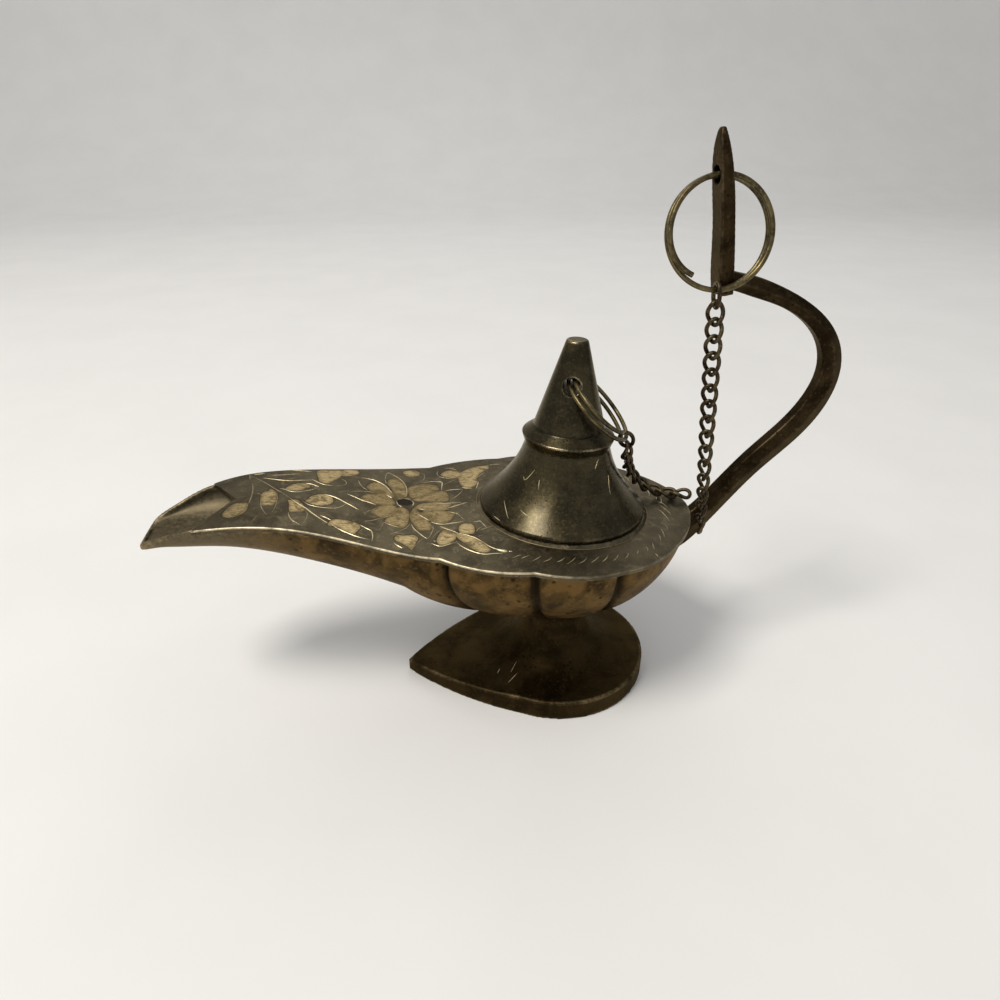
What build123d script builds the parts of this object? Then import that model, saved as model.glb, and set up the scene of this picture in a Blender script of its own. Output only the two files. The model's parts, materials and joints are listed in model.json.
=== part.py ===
from build123d import *
import os
from math import ceil, cos, dist, radians, sin

os.makedirs("parts", exist_ok=True)

# Genie oil lamp, millimetres. The origin is on the table under the lid's axis.
# +X points to the handle, -X to the spout, +Z up, and XZ is the plane of symmetry.

# Foot
foot_height = 21.6
foot_radius = 21.7
foot_point = 36.4
foot_edge = 4.9
foot_land = 1.2
foot_bulge = 2.0
foot_blend_angle = 121.0
stem_radius = 6.9
stem_top_radius = 8.2
stem_waist_height = 15.0
foot_wall = 2.4
hollow_radius = 17.4
hollow_top = 9.0

# Bolt that holds the foot
bolt_size = 5.0
bolt_head_size = 9.0
bolt_head_height = 3.0
bolt_head_round = 1.0
bolt_slot_width = 1.2
bolt_slot_depth = 1.5
bolt_show = 0.9
washer_size = 11.0
washer_thickness = 1.0
nut_flats = 8.0
nut_height = 4.0
bolt_clearance = 0.1

# Bowl, with the round lobed body about the lid's axis
bowl_depth = 20.4
bowl_rear = 28.5
bowl_wall = 2.0
bowl_floor_angle = 72.0
rim_overhang = 0.9
notch_places = [(7.0, 26.2), (-10.8, 26.0), (-28.5, 20.5)]
lobe_bulge = [1.8, 1.6]
rear_places = [(13.5, 23.7), (19.8, 18.8), (25.2, 12.2)]
body_front = 45.0
level_angles = [0.0, 18.0, 36.0, 54.0]

# Spout, from its tip: distance back, half width of the rim, fall of the keel from the rim level
spout_reach = 90.0
spout_root = 20.0
spout_wall = 1.2
least_depth_share = 0.25
notch_back = 13.6
notch_depth = 20.5
spout_stations = [
    (0.0, 1.6, 1.95),
    (1.2, 4.6, 1.0),
    (2.8, 6.5, 0.4),
    (5.5, 7.7, 0.1),
    (9.5, 9.3, 0.2),
    (notch_back, 10.4, 0.4),
    (20.0, 11.8, 0.9),
    (30.0, 13.1, 3.7),
    (40.0, 15.1, 7.2),
    (50.0, 17.9, 11.0),
    (60.0, 20.3, 15.1),
    (70.0, 23.2, 18.9),
]
beak_overhang = 0.25
overhang_run = 30.0

# Deck: rise of its top over the rim level along the middle, by distance from the spout's tip
deck_thickness = 0.9
deck_rises = [
    (-1.5, -5.0),
    (0.0, -1.8),
    (1.5, 1.4),
    (4.0, 3.0),
    (8.0, 4.9),
    (12.0, 6.5),
    (17.0, 7.7),
    (24.0, 8.35),
    (34.0, 7.8),
    (44.0, 6.2),
    (56.0, 4.2),
    (69.0, 3.2),
    (82.0, 2.8),
    (96.0, 1.95),
    (110.0, 0.9),
    (124.0, -0.5),
]
deck_crown_radius = 331.0
deck_reserve = 36.0

# Lid, in heights over its seat on the deck
lid_lean = 2.5
seat_rise = 2.45
seat_margin = 0.5
dome_radius = 18.2
dome_lip = 0.9
dome_flare = [(13.5, 5.8), (10.2, 11.4)]
neck_radius = 9.0
neck_height = 15.2
skirt_radius = 13.3
skirt_depth = 3.2
skirt_clearance = 0.35
dome_bore = 12.0
bore_height = 5.4
web_radius = 7.3
web_thickness = 2.4

# Finial
collar_radius = 9.9
collar_height = 1.7
collar_top = 3.4
cone_base = 7.6
cone_top = 2.2
finial_height = 21.8
top_round = 0.6
ring_hole = 3.6
ring_hole_height = 13.2
ring_hole_azimuth = 72.0
stud_size = 4.0
stud_length = 6.2
finial_nut_flats = 7.0
finial_nut_height = 3.0

# Handle, as stations of its middle line behind the bowl's rear and over the rim level
handle_stations = [
    (-4.0, -7.6, 8.6, 18.0),
    (-0.6, -7.0, 7.4, 32.0),
    (3.0, -4.2, 5.8, 45.0),
    (7.2, 0.5, 5.0, 51.0),
    (15.2, 10.1, 4.9, 48.0),
    (23.2, 18.3, 5.0, 50.0),
    (27.5, 25.3, 4.8, 68.0),
    (28.6, 30.5, 4.5, 90.0),
    (27.6, 35.7, 4.1, 115.0),
    (24.9, 39.9, 3.7, 137.0),
    (20.4, 43.7, 3.4, 150.0),
    (13.4, 47.2, 3.6, 158.0),
    (8.0, 49.0, 3.8, 163.0),
    (1.6, 50.6, 3.8, 166.0),
]
handle_thickness = 5.0
handle_flat = 0.5
post_flat = 0.9
post_stations = [
    (2.0, 47.6, 2.8, 5.0),
    (0.4, 59.5, 2.8, 5.2),
    (-1.3, 69.2, 2.5, 5.2),
    (-2.2, 74.0, 1.9, 3.8),
    (-2.6, 77.0, 0.9, 1.4),
]
post_hole = 3.2
post_hole_station = 2
screw_size = 3.0
screw_drop = 5.0
screw_reach = 4.6
screw_head_size = 5.6
screw_head_height = 1.6
screw_head_round = 0.5
screw_end_gap = 0.35
screw_clearance = 0.05

# Split rings: wire, middle radius, gap between turns, and the arc with a single wire
lid_ring_wire = 0.9
lid_ring_radius = 8.5
lid_ring_dip = 42.0
handle_ring_wire = 1.05
handle_ring_radius = 10.2
handle_ring_tilt = 13.0
turn_gap = 0.5
single_arc = 46.0
single_shift = 14.0
end_curl = 0.9
curl_arc = 50.0
ring_spans = 16
way_step = 0.5

# Chain, with the places that its runs pass in heights over the rim level
chain_wire = 0.86
link_pitch = 3.4
link_play = 0.35
end_play = 0.3
link_width = 3.75
link_twist = 45.0
link_samples = 4
upper_links = 15
upper_foot = (31.5, -5.0, -5.0)
upper_turn = (25.0, 95.0)
lower_links = 8
lower_route = [
    (15.4, 1.0, 9.2),
    (17.5, 2.6, 6.2),
    (19.9, 3.0, 3.9),
    (22.4, 2.7, 2.7),
    (31.5, 1.8, 1.7),
]
lower_turn = (45.0, 0.0)

# Levels and frames that follow from the sizes above
deck_level = foot_height + bowl_depth
tip_x = -spout_reach
lid_axis = Vector(sin(radians(lid_lean)), 0, cos(radians(lid_lean)))
lid_side = Vector(cos(radians(lid_lean)), 0, -sin(radians(lid_lean)))
lid_seat = Vector(0, 0, deck_level + seat_rise)
lid_plane = Plane(origin=lid_seat, x_dir=lid_side, z_dir=(0, -1, 0))
lid_turning = Axis(lid_seat, lid_axis)
high = deck_level + deck_reserve


def turned_profile(points, plane=Plane.XZ, axis=Axis.Z, mode=Mode.ADD):
    """Turns a closed outline of (radius, height) points about an axis."""
    with BuildSketch(plane) as outline:
        with BuildLine():
            Polyline(*points, close=True)
        make_face()
    revolve(outline.sketch, axis=axis, mode=mode)


def hexagon_nut(flats, height, bore, plane):
    """A plain hexagon nut standing on a plane."""
    with BuildSketch(plane) as outline:
        RegularPolygon(flats / 2, 6, major_radius=False)
        Circle(bore / 2, mode=Mode.SUBTRACT)
    extrude(outline.sketch, amount=height)


def lobed_face(height, scale, inset):
    """One level of the round body: arcs that bulge between the notch lines."""

    def place(x, y):
        reach = Vector(x, y)
        drawn = reach * (scale * (reach.length - inset) / reach.length)
        return (drawn.X, drawn.Y)

    def bulged(start, end, bulge):
        middle = (Vector(*start) + Vector(*end)) / 2
        outward = middle + middle.normalized() * bulge
        return place(outward.X, outward.Y)

    near = [(x, -y) for x, y in notch_places]
    with BuildSketch(Plane.XY.offset(height)) as face:
        with BuildLine():
            for start, end, bulge in zip(notch_places, notch_places[1:], lobe_bulge):
                ThreePointArc(place(*start), bulged(start, end, bulge), place(*end))
            ThreePointArc(place(*notch_places[-1]), place(-body_front, 0), place(*near[-1]))
            for start, end, bulge in zip(near[::-1], near[-2::-1], lobe_bulge[::-1]):
                ThreePointArc(place(*start), bulged(start, end, bulge), place(*end))
            rear = [near[0], *[(x, -y) for x, y in rear_places], (bowl_rear + rim_overhang, 0)]
            rear = rear + rear_places[::-1] + notch_places[:1]
            Spline(*[place(*point) for point in rear])
        make_face()
    return face.sketch.face()


def round_body(inset, depth):
    """The lobed body down to its flat floor, with straight walls above the rim level."""
    angles = level_angles + [bowl_floor_angle]
    faces = [
        lobed_face(
            deck_level - depth * sin(radians(angle)) / sin(radians(bowl_floor_angle)),
            cos(radians(angle)),
            inset,
        )
        for angle in angles
    ]
    loft(sections=faces)
    extrude(lobed_face(deck_level, 1.0, inset), amount=deck_reserve)


def along(back):
    """X of a station: the spout stretches from its tip to its root, and the rest keeps its place."""
    run = spout_stations[-1][0]
    if back <= run:
        return tip_x + back * (spout_reach - spout_root) / run
    return back - run - spout_root


def rise_at(back):
    """Rise of the deck's top over the rim level, between its stations."""
    for (start, low), (end, high_rise) in zip(deck_rises, deck_rises[1:]):
        if start <= back <= end:
            return low + (high_rise - low) * (back - start) / (end - start)
    return deck_rises[-1][1]


def overhang_at(back):
    """How far the rim stands out over the spout's side, growing behind the beak."""
    share = min(max((back - notch_back) / overhang_run, 0), 1)
    return beak_overhang + (rim_overhang - beak_overhang) * share


def spout_face(back, half_width, keel, wall):
    """A cross section of the spout: half an ellipse under straight walls."""
    half = max(half_width - overhang_at(back) - wall, wall / 2)
    bottom = deck_level - keel + wall
    rim = max(deck_level + rise_at(back) - deck_thickness, bottom + half * least_depth_share)
    depth = rim - bottom
    with BuildSketch(Plane(origin=(along(back), 0, 0), x_dir=(0, 1, 0), z_dir=(1, 0, 0))) as face:
        with BuildLine():
            Polyline((-half, rim), (-half, high), (half, high), (half, rim))
            EllipticalCenterArc((0, rim), half, depth, start_angle=180, arc_size=180)
        make_face()
    return face.sketch.face()


def spout_body(wall):
    """The spout from its tip into the round body, drawn in by a wall for its hollow."""
    stations = spout_stations if wall == 0 else spout_stations[1:]
    faces = [spout_face(back, half, keel, wall) for back, half, keel in stations]
    loft(sections=faces)


def over_deck(raised):
    """Everything above the crowned deck surface, raised over the deck's top."""
    faces = []
    for back, rise in deck_rises:
        middle = deck_level + rise + raised
        edge = middle - deck_reserve**2 / (2 * deck_crown_radius)
        section = Plane(origin=(along(back), 0, 0), x_dir=(0, 1, 0), z_dir=(1, 0, 0))
        with BuildSketch(section) as face:
            with BuildLine():
                ThreePointArc((-deck_reserve, edge), (0, middle), (deck_reserve, edge))
                Polyline(
                    (deck_reserve, edge),
                    (deck_reserve, high),
                    (-deck_reserve, high),
                    (-deck_reserve, edge),
                )
            make_face()
        faces.append(face.sketch.face())
    loft(sections=faces)


with BuildPart() as above_underside:
    over_deck(-deck_thickness)

with BuildPart() as above_top:
    over_deck(0)

with BuildPart() as bowl_form:
    round_body(rim_overhang, bowl_depth)
    spout_body(0)

# The plate that closes the bowl, cut to the rim's lobes and to the wick notch
with BuildPart() as deck_outline:
    with BuildSketch():
        with BuildLine():
            for start, end, bulge in zip(notch_places, notch_places[1:], lobe_bulge):
                middle = (Vector(*start) + Vector(*end)) / 2
                ThreePointArc(start, middle + middle.normalized() * bulge, end)
            behind_notch = [row for row in spout_stations if notch_back <= row[0]]
            rim_places = [(along(back), half) for back, half, keel in behind_notch]
            flank = [place for place in rim_places if place[0] < notch_places[-1][0] - rim_overhang]
            Spline(notch_places[-1], *flank[::-1])
            Line(flank[0], (along(notch_depth), 0))
            mirror(about=Plane.XZ)
            near_rear = [(x, -y) for x, y in notch_places[:1] + rear_places]
            Spline(*near_rear, (bowl_rear + rim_overhang, 0), *rear_places[::-1], notch_places[0])
        make_face()
    extrude(amount=high)

with BuildPart() as deck_plate:
    add(above_underside.part)
    add(above_top.part, mode=Mode.SUBTRACT)
    add(deck_outline.part, mode=Mode.INTERSECT)

# The bowl: one casting, hollow from the beak to the rear wall
with BuildPart() as bowl_hollow:
    round_body(rim_overhang + bowl_wall, bowl_depth - bowl_wall)
    spout_body(spout_wall)

screw_height = deck_level - screw_drop
spot_face = bowl_rear - bowl_wall

with BuildPart() as bowl:
    add(bowl_form.part)
    add(bowl_hollow.part, mode=Mode.SUBTRACT)
    add(above_top.part, mode=Mode.SUBTRACT)
    add(deck_plate.part, mode=Mode.SUBTRACT)
    with BuildSketch(Plane.XY):
        Circle(bolt_size / 2 + bolt_clearance)
    extrude(amount=deck_level, mode=Mode.SUBTRACT)
    with BuildSketch(Plane.YZ):
        with Locations((0, screw_height)):
            Circle(screw_size / 2 + screw_clearance)
    extrude(amount=bowl_rear + bowl_wall, mode=Mode.SUBTRACT)
    with BuildSketch(Plane(origin=(spot_face, 0, screw_height), z_dir=(1, 0, 0))):
        Circle(screw_head_size / 2 + screw_clearance)
    extrude(amount=-bowl_wall, mode=Mode.SUBTRACT)
bowl.part.label = "bowl"
export_step(bowl.part, "parts/bowl.step")

# The deck: the crowned plate with a flat seat for the lid and the filler hole
seat_radius = dome_radius + seat_margin
filler_radius = skirt_radius + skirt_clearance

with BuildPart() as deck:
    add(deck_plate.part)
    turned_profile(
        [(0, 0), (seat_radius, 0), (seat_radius, -deck_thickness), (0, -deck_thickness)],
        lid_plane,
        lid_turning,
    )
    with BuildSketch(Plane(origin=lid_seat, x_dir=lid_side, z_dir=lid_axis)):
        Circle(filler_radius)
    extrude(amount=deck_reserve, both=True, mode=Mode.SUBTRACT)
deck.part.label = "deck"
export_step(deck.part, "parts/deck.step")

# The foot: a teardrop plate, a trumpet stem and a hollow underside
with BuildPart() as foot:
    with BuildSketch():
        with BuildLine():
            blend = Vector(foot_radius, 0).rotate(Axis.Z, foot_blend_angle)
            half_flank = (blend + Vector(-foot_point, 0)) / 2
            bowed = half_flank + half_flank.normalized() * foot_bulge
            ThreePointArc(blend, bowed, (-foot_point, 0))
            mirror(about=Plane.XZ)
            ThreePointArc(blend, (foot_radius, 0), (blend.X, -blend.Y))
        make_face()
    extrude(amount=foot_edge)
    with BuildSketch(Plane.XZ):
        with BuildLine():
            Polyline((foot_radius - foot_land, foot_edge), (0, foot_edge), (0, foot_height))
            Line((0, foot_height), (stem_top_radius, foot_height))
            Spline(
                (stem_top_radius, foot_height),
                (stem_radius, stem_waist_height),
                (foot_radius - foot_land, foot_edge),
                tangents=[(-0.4, -1), (0.4, -1), (1, 0)],
            )
        make_face()
    revolve(axis=Axis.Z)
    turned_profile(
        [
            (0, 0),
            (hollow_radius, 0),
            (hollow_radius, foot_wall),
            (washer_size / 2, hollow_top),
            (0, hollow_top),
        ],
        mode=Mode.SUBTRACT,
    )
    with BuildSketch():
        Circle(bolt_size / 2 + bolt_clearance)
    extrude(amount=foot_height, mode=Mode.SUBTRACT)
foot.part.label = "foot"
export_step(foot.part, "parts/foot.step")

# Bolt, sealing washer and nut that hold the foot to the bowl's floor
inner_floor = foot_height + bowl_wall
washer_top = inner_floor + washer_thickness

with BuildPart() as foot_washer:
    with BuildSketch(Plane.XY.offset(inner_floor)):
        Circle(washer_size / 2)
        Circle(bolt_size / 2 + bolt_clearance, mode=Mode.SUBTRACT)
    extrude(amount=washer_thickness)
foot_washer.part.label = "foot_washer"
export_step(foot_washer.part, "parts/foot_washer.step")

bolt_end = hollow_top - nut_height - bolt_show
with BuildPart() as foot_bolt:
    with BuildSketch(Plane.XY.offset(washer_top)):
        Circle(bolt_head_size / 2)
    extrude(amount=bolt_head_height)
    fillet(foot_bolt.edges().sort_by(Axis.Z)[-1], bolt_head_round)
    with BuildSketch(Plane.XY.offset(bolt_end)):
        Circle(bolt_size / 2)
    extrude(amount=washer_top - bolt_end)
    with BuildSketch(Plane.XY.offset(washer_top + bolt_head_height)):
        Rectangle(bolt_head_size, bolt_slot_width)
    extrude(amount=-bolt_slot_depth, mode=Mode.SUBTRACT)
foot_bolt.part.label = "foot_bolt"
export_step(foot_bolt.part, "parts/foot_bolt.step")

with BuildPart() as foot_nut:
    nut_plane = Plane.XY.offset(hollow_top - nut_height)
    hexagon_nut(nut_flats, nut_height, bolt_size + bolt_clearance, nut_plane)
foot_nut.part.label = "foot_nut"
export_step(foot_nut.part, "parts/foot_nut.step")

# The lid's bell with its skirt, hollow under a web that carries the finial
with BuildPart() as lid_dome:
    with BuildSketch(lid_plane):
        with BuildLine():
            Line((0, 0), (dome_radius, 0))
            Line((dome_radius, 0), (dome_radius, dome_lip))
            Spline((dome_radius, dome_lip), *dome_flare, (neck_radius, neck_height))
            Polyline((neck_radius, neck_height), (0, neck_height), (0, 0))
        make_face()
    revolve(axis=lid_turning)
    turned_profile(
        [(0, 0), (skirt_radius, 0), (skirt_radius, -skirt_depth), (0, -skirt_depth)],
        lid_plane,
        lid_turning,
    )
    turned_profile(
        [
            (0, -skirt_depth),
            (dome_bore, -skirt_depth),
            (dome_bore, bore_height),
            (web_radius, neck_height - web_thickness),
            (0, neck_height - web_thickness),
        ],
        lid_plane,
        lid_turning,
        Mode.SUBTRACT,
    )
    with BuildSketch(Plane(origin=lid_seat, x_dir=lid_side, z_dir=lid_axis)):
        Circle(stud_size / 2 + bolt_clearance)
    extrude(amount=neck_height, mode=Mode.SUBTRACT)
lid_dome.part.label = "lid_dome"
export_step(lid_dome.part, "parts/lid_dome.step")

# The finial: cone, collar and stud, with the cross hole for its ring
finial_foot = lid_seat + lid_axis * neck_height
finial_plane = Plane(origin=finial_foot, x_dir=lid_side, z_dir=(0, -1, 0))
hole_centre = finial_foot + lid_axis * ring_hole_height
azimuth = radians(ring_hole_azimuth)
hole_way = lid_side * cos(azimuth) + Vector(0, 1, 0) * sin(azimuth)
hole_side = lid_side * sin(azimuth) - Vector(0, 1, 0) * cos(azimuth)

with BuildPart() as finial:
    with BuildSketch(finial_plane):
        with BuildLine():
            Polyline(
                (0, -stud_length),
                (stud_size / 2, -stud_length),
                (stud_size / 2, 0),
                (neck_radius, 0),
                (collar_radius, collar_height),
                (cone_base, collar_top),
                (cone_top, finial_height),
                (0, finial_height),
                close=True,
            )
        make_face()
    revolve(axis=lid_turning)
    top_edge = finial.edges().filter_by(GeomType.CIRCLE).sort_by(lid_turning)[-1]
    fillet(top_edge, top_round)
    with BuildSketch(Plane(origin=hole_centre, z_dir=hole_way)):
        Circle(ring_hole / 2)
    extrude(amount=collar_radius, both=True, mode=Mode.SUBTRACT)
finial.part.label = "finial"
export_step(finial.part, "parts/finial.step")

with BuildPart() as finial_nut:
    under_web = lid_seat + lid_axis * (neck_height - web_thickness - finial_nut_height)
    hexagon_nut(
        finial_nut_flats,
        finial_nut_height,
        stud_size + bolt_clearance,
        Plane(origin=under_web, x_dir=lid_side, z_dir=lid_axis),
    )
finial_nut.part.label = "finial_nut"
export_step(finial_nut.part, "parts/finial_nut.step")


# The handle: a tapering six-sided bar that curls back to an upright post
def ridged_face(centre, way, width, thickness, flat):
    """A section with a ridge on each side, across a direction in the plane of symmetry."""
    side = thickness * flat / 2
    with BuildSketch(Plane(origin=centre, x_dir=(0, 1, 0), z_dir=way)) as face:
        with BuildLine():
            Polyline(
                (thickness / 2, 0),
                (side, width / 2),
                (-side, width / 2),
                (-thickness / 2, 0),
                (-side, -width / 2),
                (side, -width / 2),
                close=True,
            )
        make_face()
    return face.sketch.face()


def behind_bowl(back, rise):
    return Vector(bowl_rear + back, 0, deck_level + rise)


post_places = [behind_bowl(back, rise) for back, rise, width, thickness in post_stations]
post_ways = [
    places[1] - places[0]
    for places in zip(post_places[:1] + post_places[:-1], post_places[1:] + post_places[-1:])
]
post_ways[0] = post_places[1] - post_places[0]
post_hole_centre = post_places[post_hole_station]

with BuildPart() as handle:
    bar = []
    for back, rise, width, slope in handle_stations:
        way = Vector(cos(radians(slope)), 0, sin(radians(slope)))
        bar.append(ridged_face(behind_bowl(back, rise), way, width, handle_thickness, handle_flat))
    loft(sections=bar)
    post = []
    for place, way, (back, rise, width, thickness) in zip(post_places, post_ways, post_stations):
        post.append(ridged_face(place, way, width, thickness, post_flat))
    loft(sections=post)
    add(bowl_form.part, mode=Mode.SUBTRACT)
    add(deck.part, mode=Mode.SUBTRACT)
    with BuildSketch(Plane(origin=post_hole_centre, z_dir=(1, 0, 0))):
        Circle(post_hole / 2)
    extrude(amount=handle_thickness, both=True, mode=Mode.SUBTRACT)
    with BuildSketch(Plane(origin=(spot_face, 0, screw_height), z_dir=(1, 0, 0))):
        Circle(screw_size / 2 + screw_clearance)
    extrude(amount=bowl_wall + screw_reach, mode=Mode.SUBTRACT)
handle.part.label = "handle"
export_step(handle.part, "parts/handle.step")

# The screw that holds the handle's root from inside the bowl
with BuildPart() as handle_screw:
    with BuildSketch(Plane(origin=(spot_face, 0, screw_height), z_dir=(1, 0, 0))):
        Circle(screw_head_size / 2)
    extrude(amount=-screw_head_height)
    fillet(handle_screw.edges().sort_by(Axis.X)[0], screw_head_round)
    with BuildSketch(Plane(origin=(spot_face, 0, screw_height), z_dir=(1, 0, 0))):
        Circle(screw_size / 2)
    extrude(amount=bowl_wall + screw_reach - screw_end_gap)
handle_screw.part.label = "handle_screw"
export_step(handle_screw.part, "parts/handle_screw.step")


# Wire forms follow biarcs, pairs of tangent arcs between points with known directions
def biarcs(points, ways):
    """Draws a smooth line of tangent arcs through points in the directions given."""
    for start, end, leaving, arriving in zip(points, points[1:], ways, ways[1:]):
        chord = end - start
        both = leaving + arriving
        spread = 2 * (1 - leaving.dot(arriving))
        along = chord.dot(both)
        reach = ((along**2 + spread * chord.dot(chord)) ** 0.5 - along) / spread
        middle = (start + end + (leaving - arriving) * reach) / 2
        first = TangentArc(start, middle, tangent=leaving)
        TangentArc(middle, end, tangent=first % 1)


def least_gap(points, wire, apart):
    """The least space between stretches of one wire that lie well apart along it."""
    pairs = [(one, two) for place, one in enumerate(points) for two in points[place + apart :]]
    return min(dist(tuple(one), tuple(two)) for one, two in pairs) - wire


def ring_line(centre, hole_out, face, radius, wire, samples):
    """Points and directions of a split ring that passes its hole twice, its first end curled in."""
    beside = face.cross(hole_out)
    turns = 2 - single_arc / 360
    begin = 180 + single_shift + single_arc / 2
    climb = wire + turn_gap

    def place(turned):
        angle = radians(begin + 360 * turned)
        curled = max(1 - 360 * turned / curl_arc, 0)
        reach = radius - end_curl * curled**2
        level = climb * (turned - turns / 2)
        return centre + (hole_out * cos(angle) + beside * sin(angle)) * reach + face * level

    near = way_step / 360
    shares = [turns * step / samples for step in range(samples + 1)]
    points = [place(share) for share in shares]
    ways = [(place(share + near) - place(share - near)).normalized() for share in shares]
    return points, ways


dip = radians(lid_ring_dip)
lid_ring_way = hole_side * cos(dip) - lid_axis * sin(dip)
lid_ring_face = hole_way.cross(lid_ring_way)
cone_fall = (ring_hole_height - collar_top) / (finial_height - collar_top)
cone_at_hole = cone_base + (cone_top - cone_base) * cone_fall
hole_sag = lid_ring_radius - (lid_ring_radius**2 - cone_at_hole**2) ** 0.5
lid_ring_centre = hole_centre + lid_ring_way * (lid_ring_radius - hole_sag / 2)
lid_ring_far = lid_ring_centre + lid_ring_way * lid_ring_radius
lid_ring_points, lid_ring_ways = ring_line(
    lid_ring_centre, -lid_ring_way, lid_ring_face, lid_ring_radius, lid_ring_wire, ring_spans
)

with BuildPart() as lid_ring:
    with BuildLine() as lid_ring_path:
        biarcs(lid_ring_points, lid_ring_ways)
    with BuildSketch(Plane(origin=lid_ring_points[0], z_dir=lid_ring_ways[0])):
        Circle(lid_ring_wire / 2)
    sweep(path=lid_ring_path.line)
lid_ring.part.label = "lid_ring"
export_step(lid_ring.part, "parts/lid_ring.step")

tilt = radians(handle_ring_tilt)
handle_ring_way = Vector(0, -sin(tilt), -cos(tilt))
handle_ring_face = Vector(1, 0, 0).cross(handle_ring_way)
handle_ring_centre = post_hole_centre + handle_ring_way * handle_ring_radius
handle_ring_far = post_hole_centre + handle_ring_way * (2 * handle_ring_radius)
handle_ring_points, handle_ring_ways = ring_line(
    handle_ring_centre,
    -handle_ring_way,
    handle_ring_face,
    handle_ring_radius,
    handle_ring_wire,
    ring_spans,
)

with BuildPart() as handle_ring:
    with BuildLine() as handle_ring_path:
        biarcs(handle_ring_points, handle_ring_ways)
    with BuildSketch(Plane(origin=handle_ring_points[0], z_dir=handle_ring_ways[0])):
        Circle(handle_ring_wire / 2)
    sweep(path=handle_ring_path.line)
handle_ring.part.label = "handle_ring"
export_step(handle_ring.part, "parts/handle_ring.step")

gap_samples = 40 * ring_spans
for ring_name, ring_radius, ring_wire in (
    ("lid_ring", lid_ring_radius, lid_ring_wire),
    ("handle_ring", handle_ring_radius, handle_ring_wire),
):
    samples, directions = ring_line(
        Vector(0, 0, 0), Vector(1, 0, 0), Vector(0, 0, 1), ring_radius, ring_wire, gap_samples
    )
    turn_to_turn = least_gap(samples, ring_wire, gap_samples // 4)
    print(ring_name, "least gap between turns", round(turn_to_turn, 3))


# The chain: wire links that a formula bends, a plain one at each ring and twisted ones between
link_half_length = (link_pitch + link_play + chain_wire) / 2
link_half_width = (link_width - chain_wire) / 2


def link_line(twist, samples):
    """Points and directions of half a link, from its top bend to its lower one."""
    points, ways = [], []
    for step in range(samples + 1):
        angle = radians(180 * step / samples)
        out = link_half_width * sin(angle)
        turn = radians(twist) * cos(angle)
        out_rate = link_half_width * cos(angle)
        turn_rate = -radians(twist) * sin(angle)
        points.append(Vector(out * cos(turn), out * sin(turn), link_half_length * cos(angle)))
        ways.append(
            Vector(
                out_rate * cos(turn) - out * turn_rate * sin(turn),
                out_rate * sin(turn) + out * turn_rate * cos(turn),
                -link_half_length * sin(angle),
            ).normalized()
        )
    return points, ways


def link_blank(twist):
    """One closed link about Z, made of two equal halves."""
    points, ways = link_line(twist, link_samples)
    with BuildPart() as half:
        with BuildLine() as line:
            biarcs(points, ways)
        with BuildSketch(Plane(origin=points[0], z_dir=ways[0])):
            Circle(chain_wire / 2)
        sweep(path=line.line)
    with BuildPart() as link:
        add(half.part)
        add(half.part.rotate(Axis.Z, 180))
    return link.part


plain_link = link_blank(0)
curb_link = link_blank(link_twist)


def run_of_links(route, count, turns, side):
    """Places of links that meet on a smooth route, each turned about its own run, and where they end."""
    line = Spline(*route, mode=Mode.PRIVATE)
    meetings = [line.position_at(link_pitch * step, PositionMode.LENGTH) for step in range(count + 1)]
    places = []
    for step, (start, end) in enumerate(zip(meetings, meetings[1:])):
        way = (end - start).normalized()
        across = (side - way * side.dot(way)).normalized()
        turn = radians(turns[0] + (turns[1] - turns[0]) * step / (count - 1))
        flat = across * cos(turn) + way.cross(across) * sin(turn)
        places.append(Plane(origin=(start + end) / 2, x_dir=flat, z_dir=-way))
    return places, meetings


def write_link(name, blank, place):
    with BuildPart() as chain_link:
        with Locations(place):
            add(blank)
    chain_link.part.label = name
    export_step(chain_link.part, f"parts/{name}.step")


# How far the middle of an end link hangs below the middle of its ring's wire
handle_hang = link_half_length - (handle_ring_wire + chain_wire) / 2 - end_play
lid_hang = link_half_length - (lid_ring_wire + chain_wire) / 2 - end_play
upper_end = Vector(*upper_foot) + Vector(0, 0, deck_level)
lower_ways = [Vector(*place) + Vector(0, 0, deck_level) for place in lower_route]
upper_way = (upper_end - handle_ring_far).normalized()
lower_way = (lower_ways[0] - lid_ring_far).normalized()

handle_link_middle = handle_ring_far + upper_way * handle_hang
handle_link_place = Plane(origin=handle_link_middle, x_dir=(0, 1, 0), z_dir=-upper_way)
write_link("ring_link_handle", plain_link, handle_link_place)

lid_link_middle = lid_ring_far + lower_way * lid_hang
lid_link_place = Plane(origin=lid_link_middle, x_dir=hole_side, z_dir=-lower_way)
write_link("ring_link_lid", plain_link, lid_link_place)

upper_start = handle_link_middle + upper_way * (link_pitch / 2)
upper_places, upper_meetings = run_of_links(
    [upper_start, upper_end], upper_links, upper_turn, Vector(1, 0, 0)
)
lower_start = lid_link_middle + lower_way * (link_pitch / 2)
lower_places, lower_meetings = run_of_links(
    [lower_start, *lower_ways], lower_links, lower_turn, Vector(0, 1, 0)
)
for number, place in enumerate(upper_places + lower_places, start=1):
    write_link(f"chain_link_{number:02d}", curb_link, place)

# Places that record.json needs for its joints
print("lid_axis", lid_axis)
print("hole_centre", hole_centre, "hole_way", hole_way)
print("lid_ring_far", lid_ring_far)
print("post_hole_centre", post_hole_centre)
print("handle_ring_far", handle_ring_far)
print("upper meetings", *[tuple(round(v, 2) for v in place) for place in upper_meetings])
print("lower meetings", *[tuple(round(v, 2) for v in place) for place in lower_meetings])
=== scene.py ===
import json
import math

import bmesh
import bpy
import numpy as np
from mathutils import Matrix, Vector
from mathutils.bvhtree import BVHTree


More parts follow.
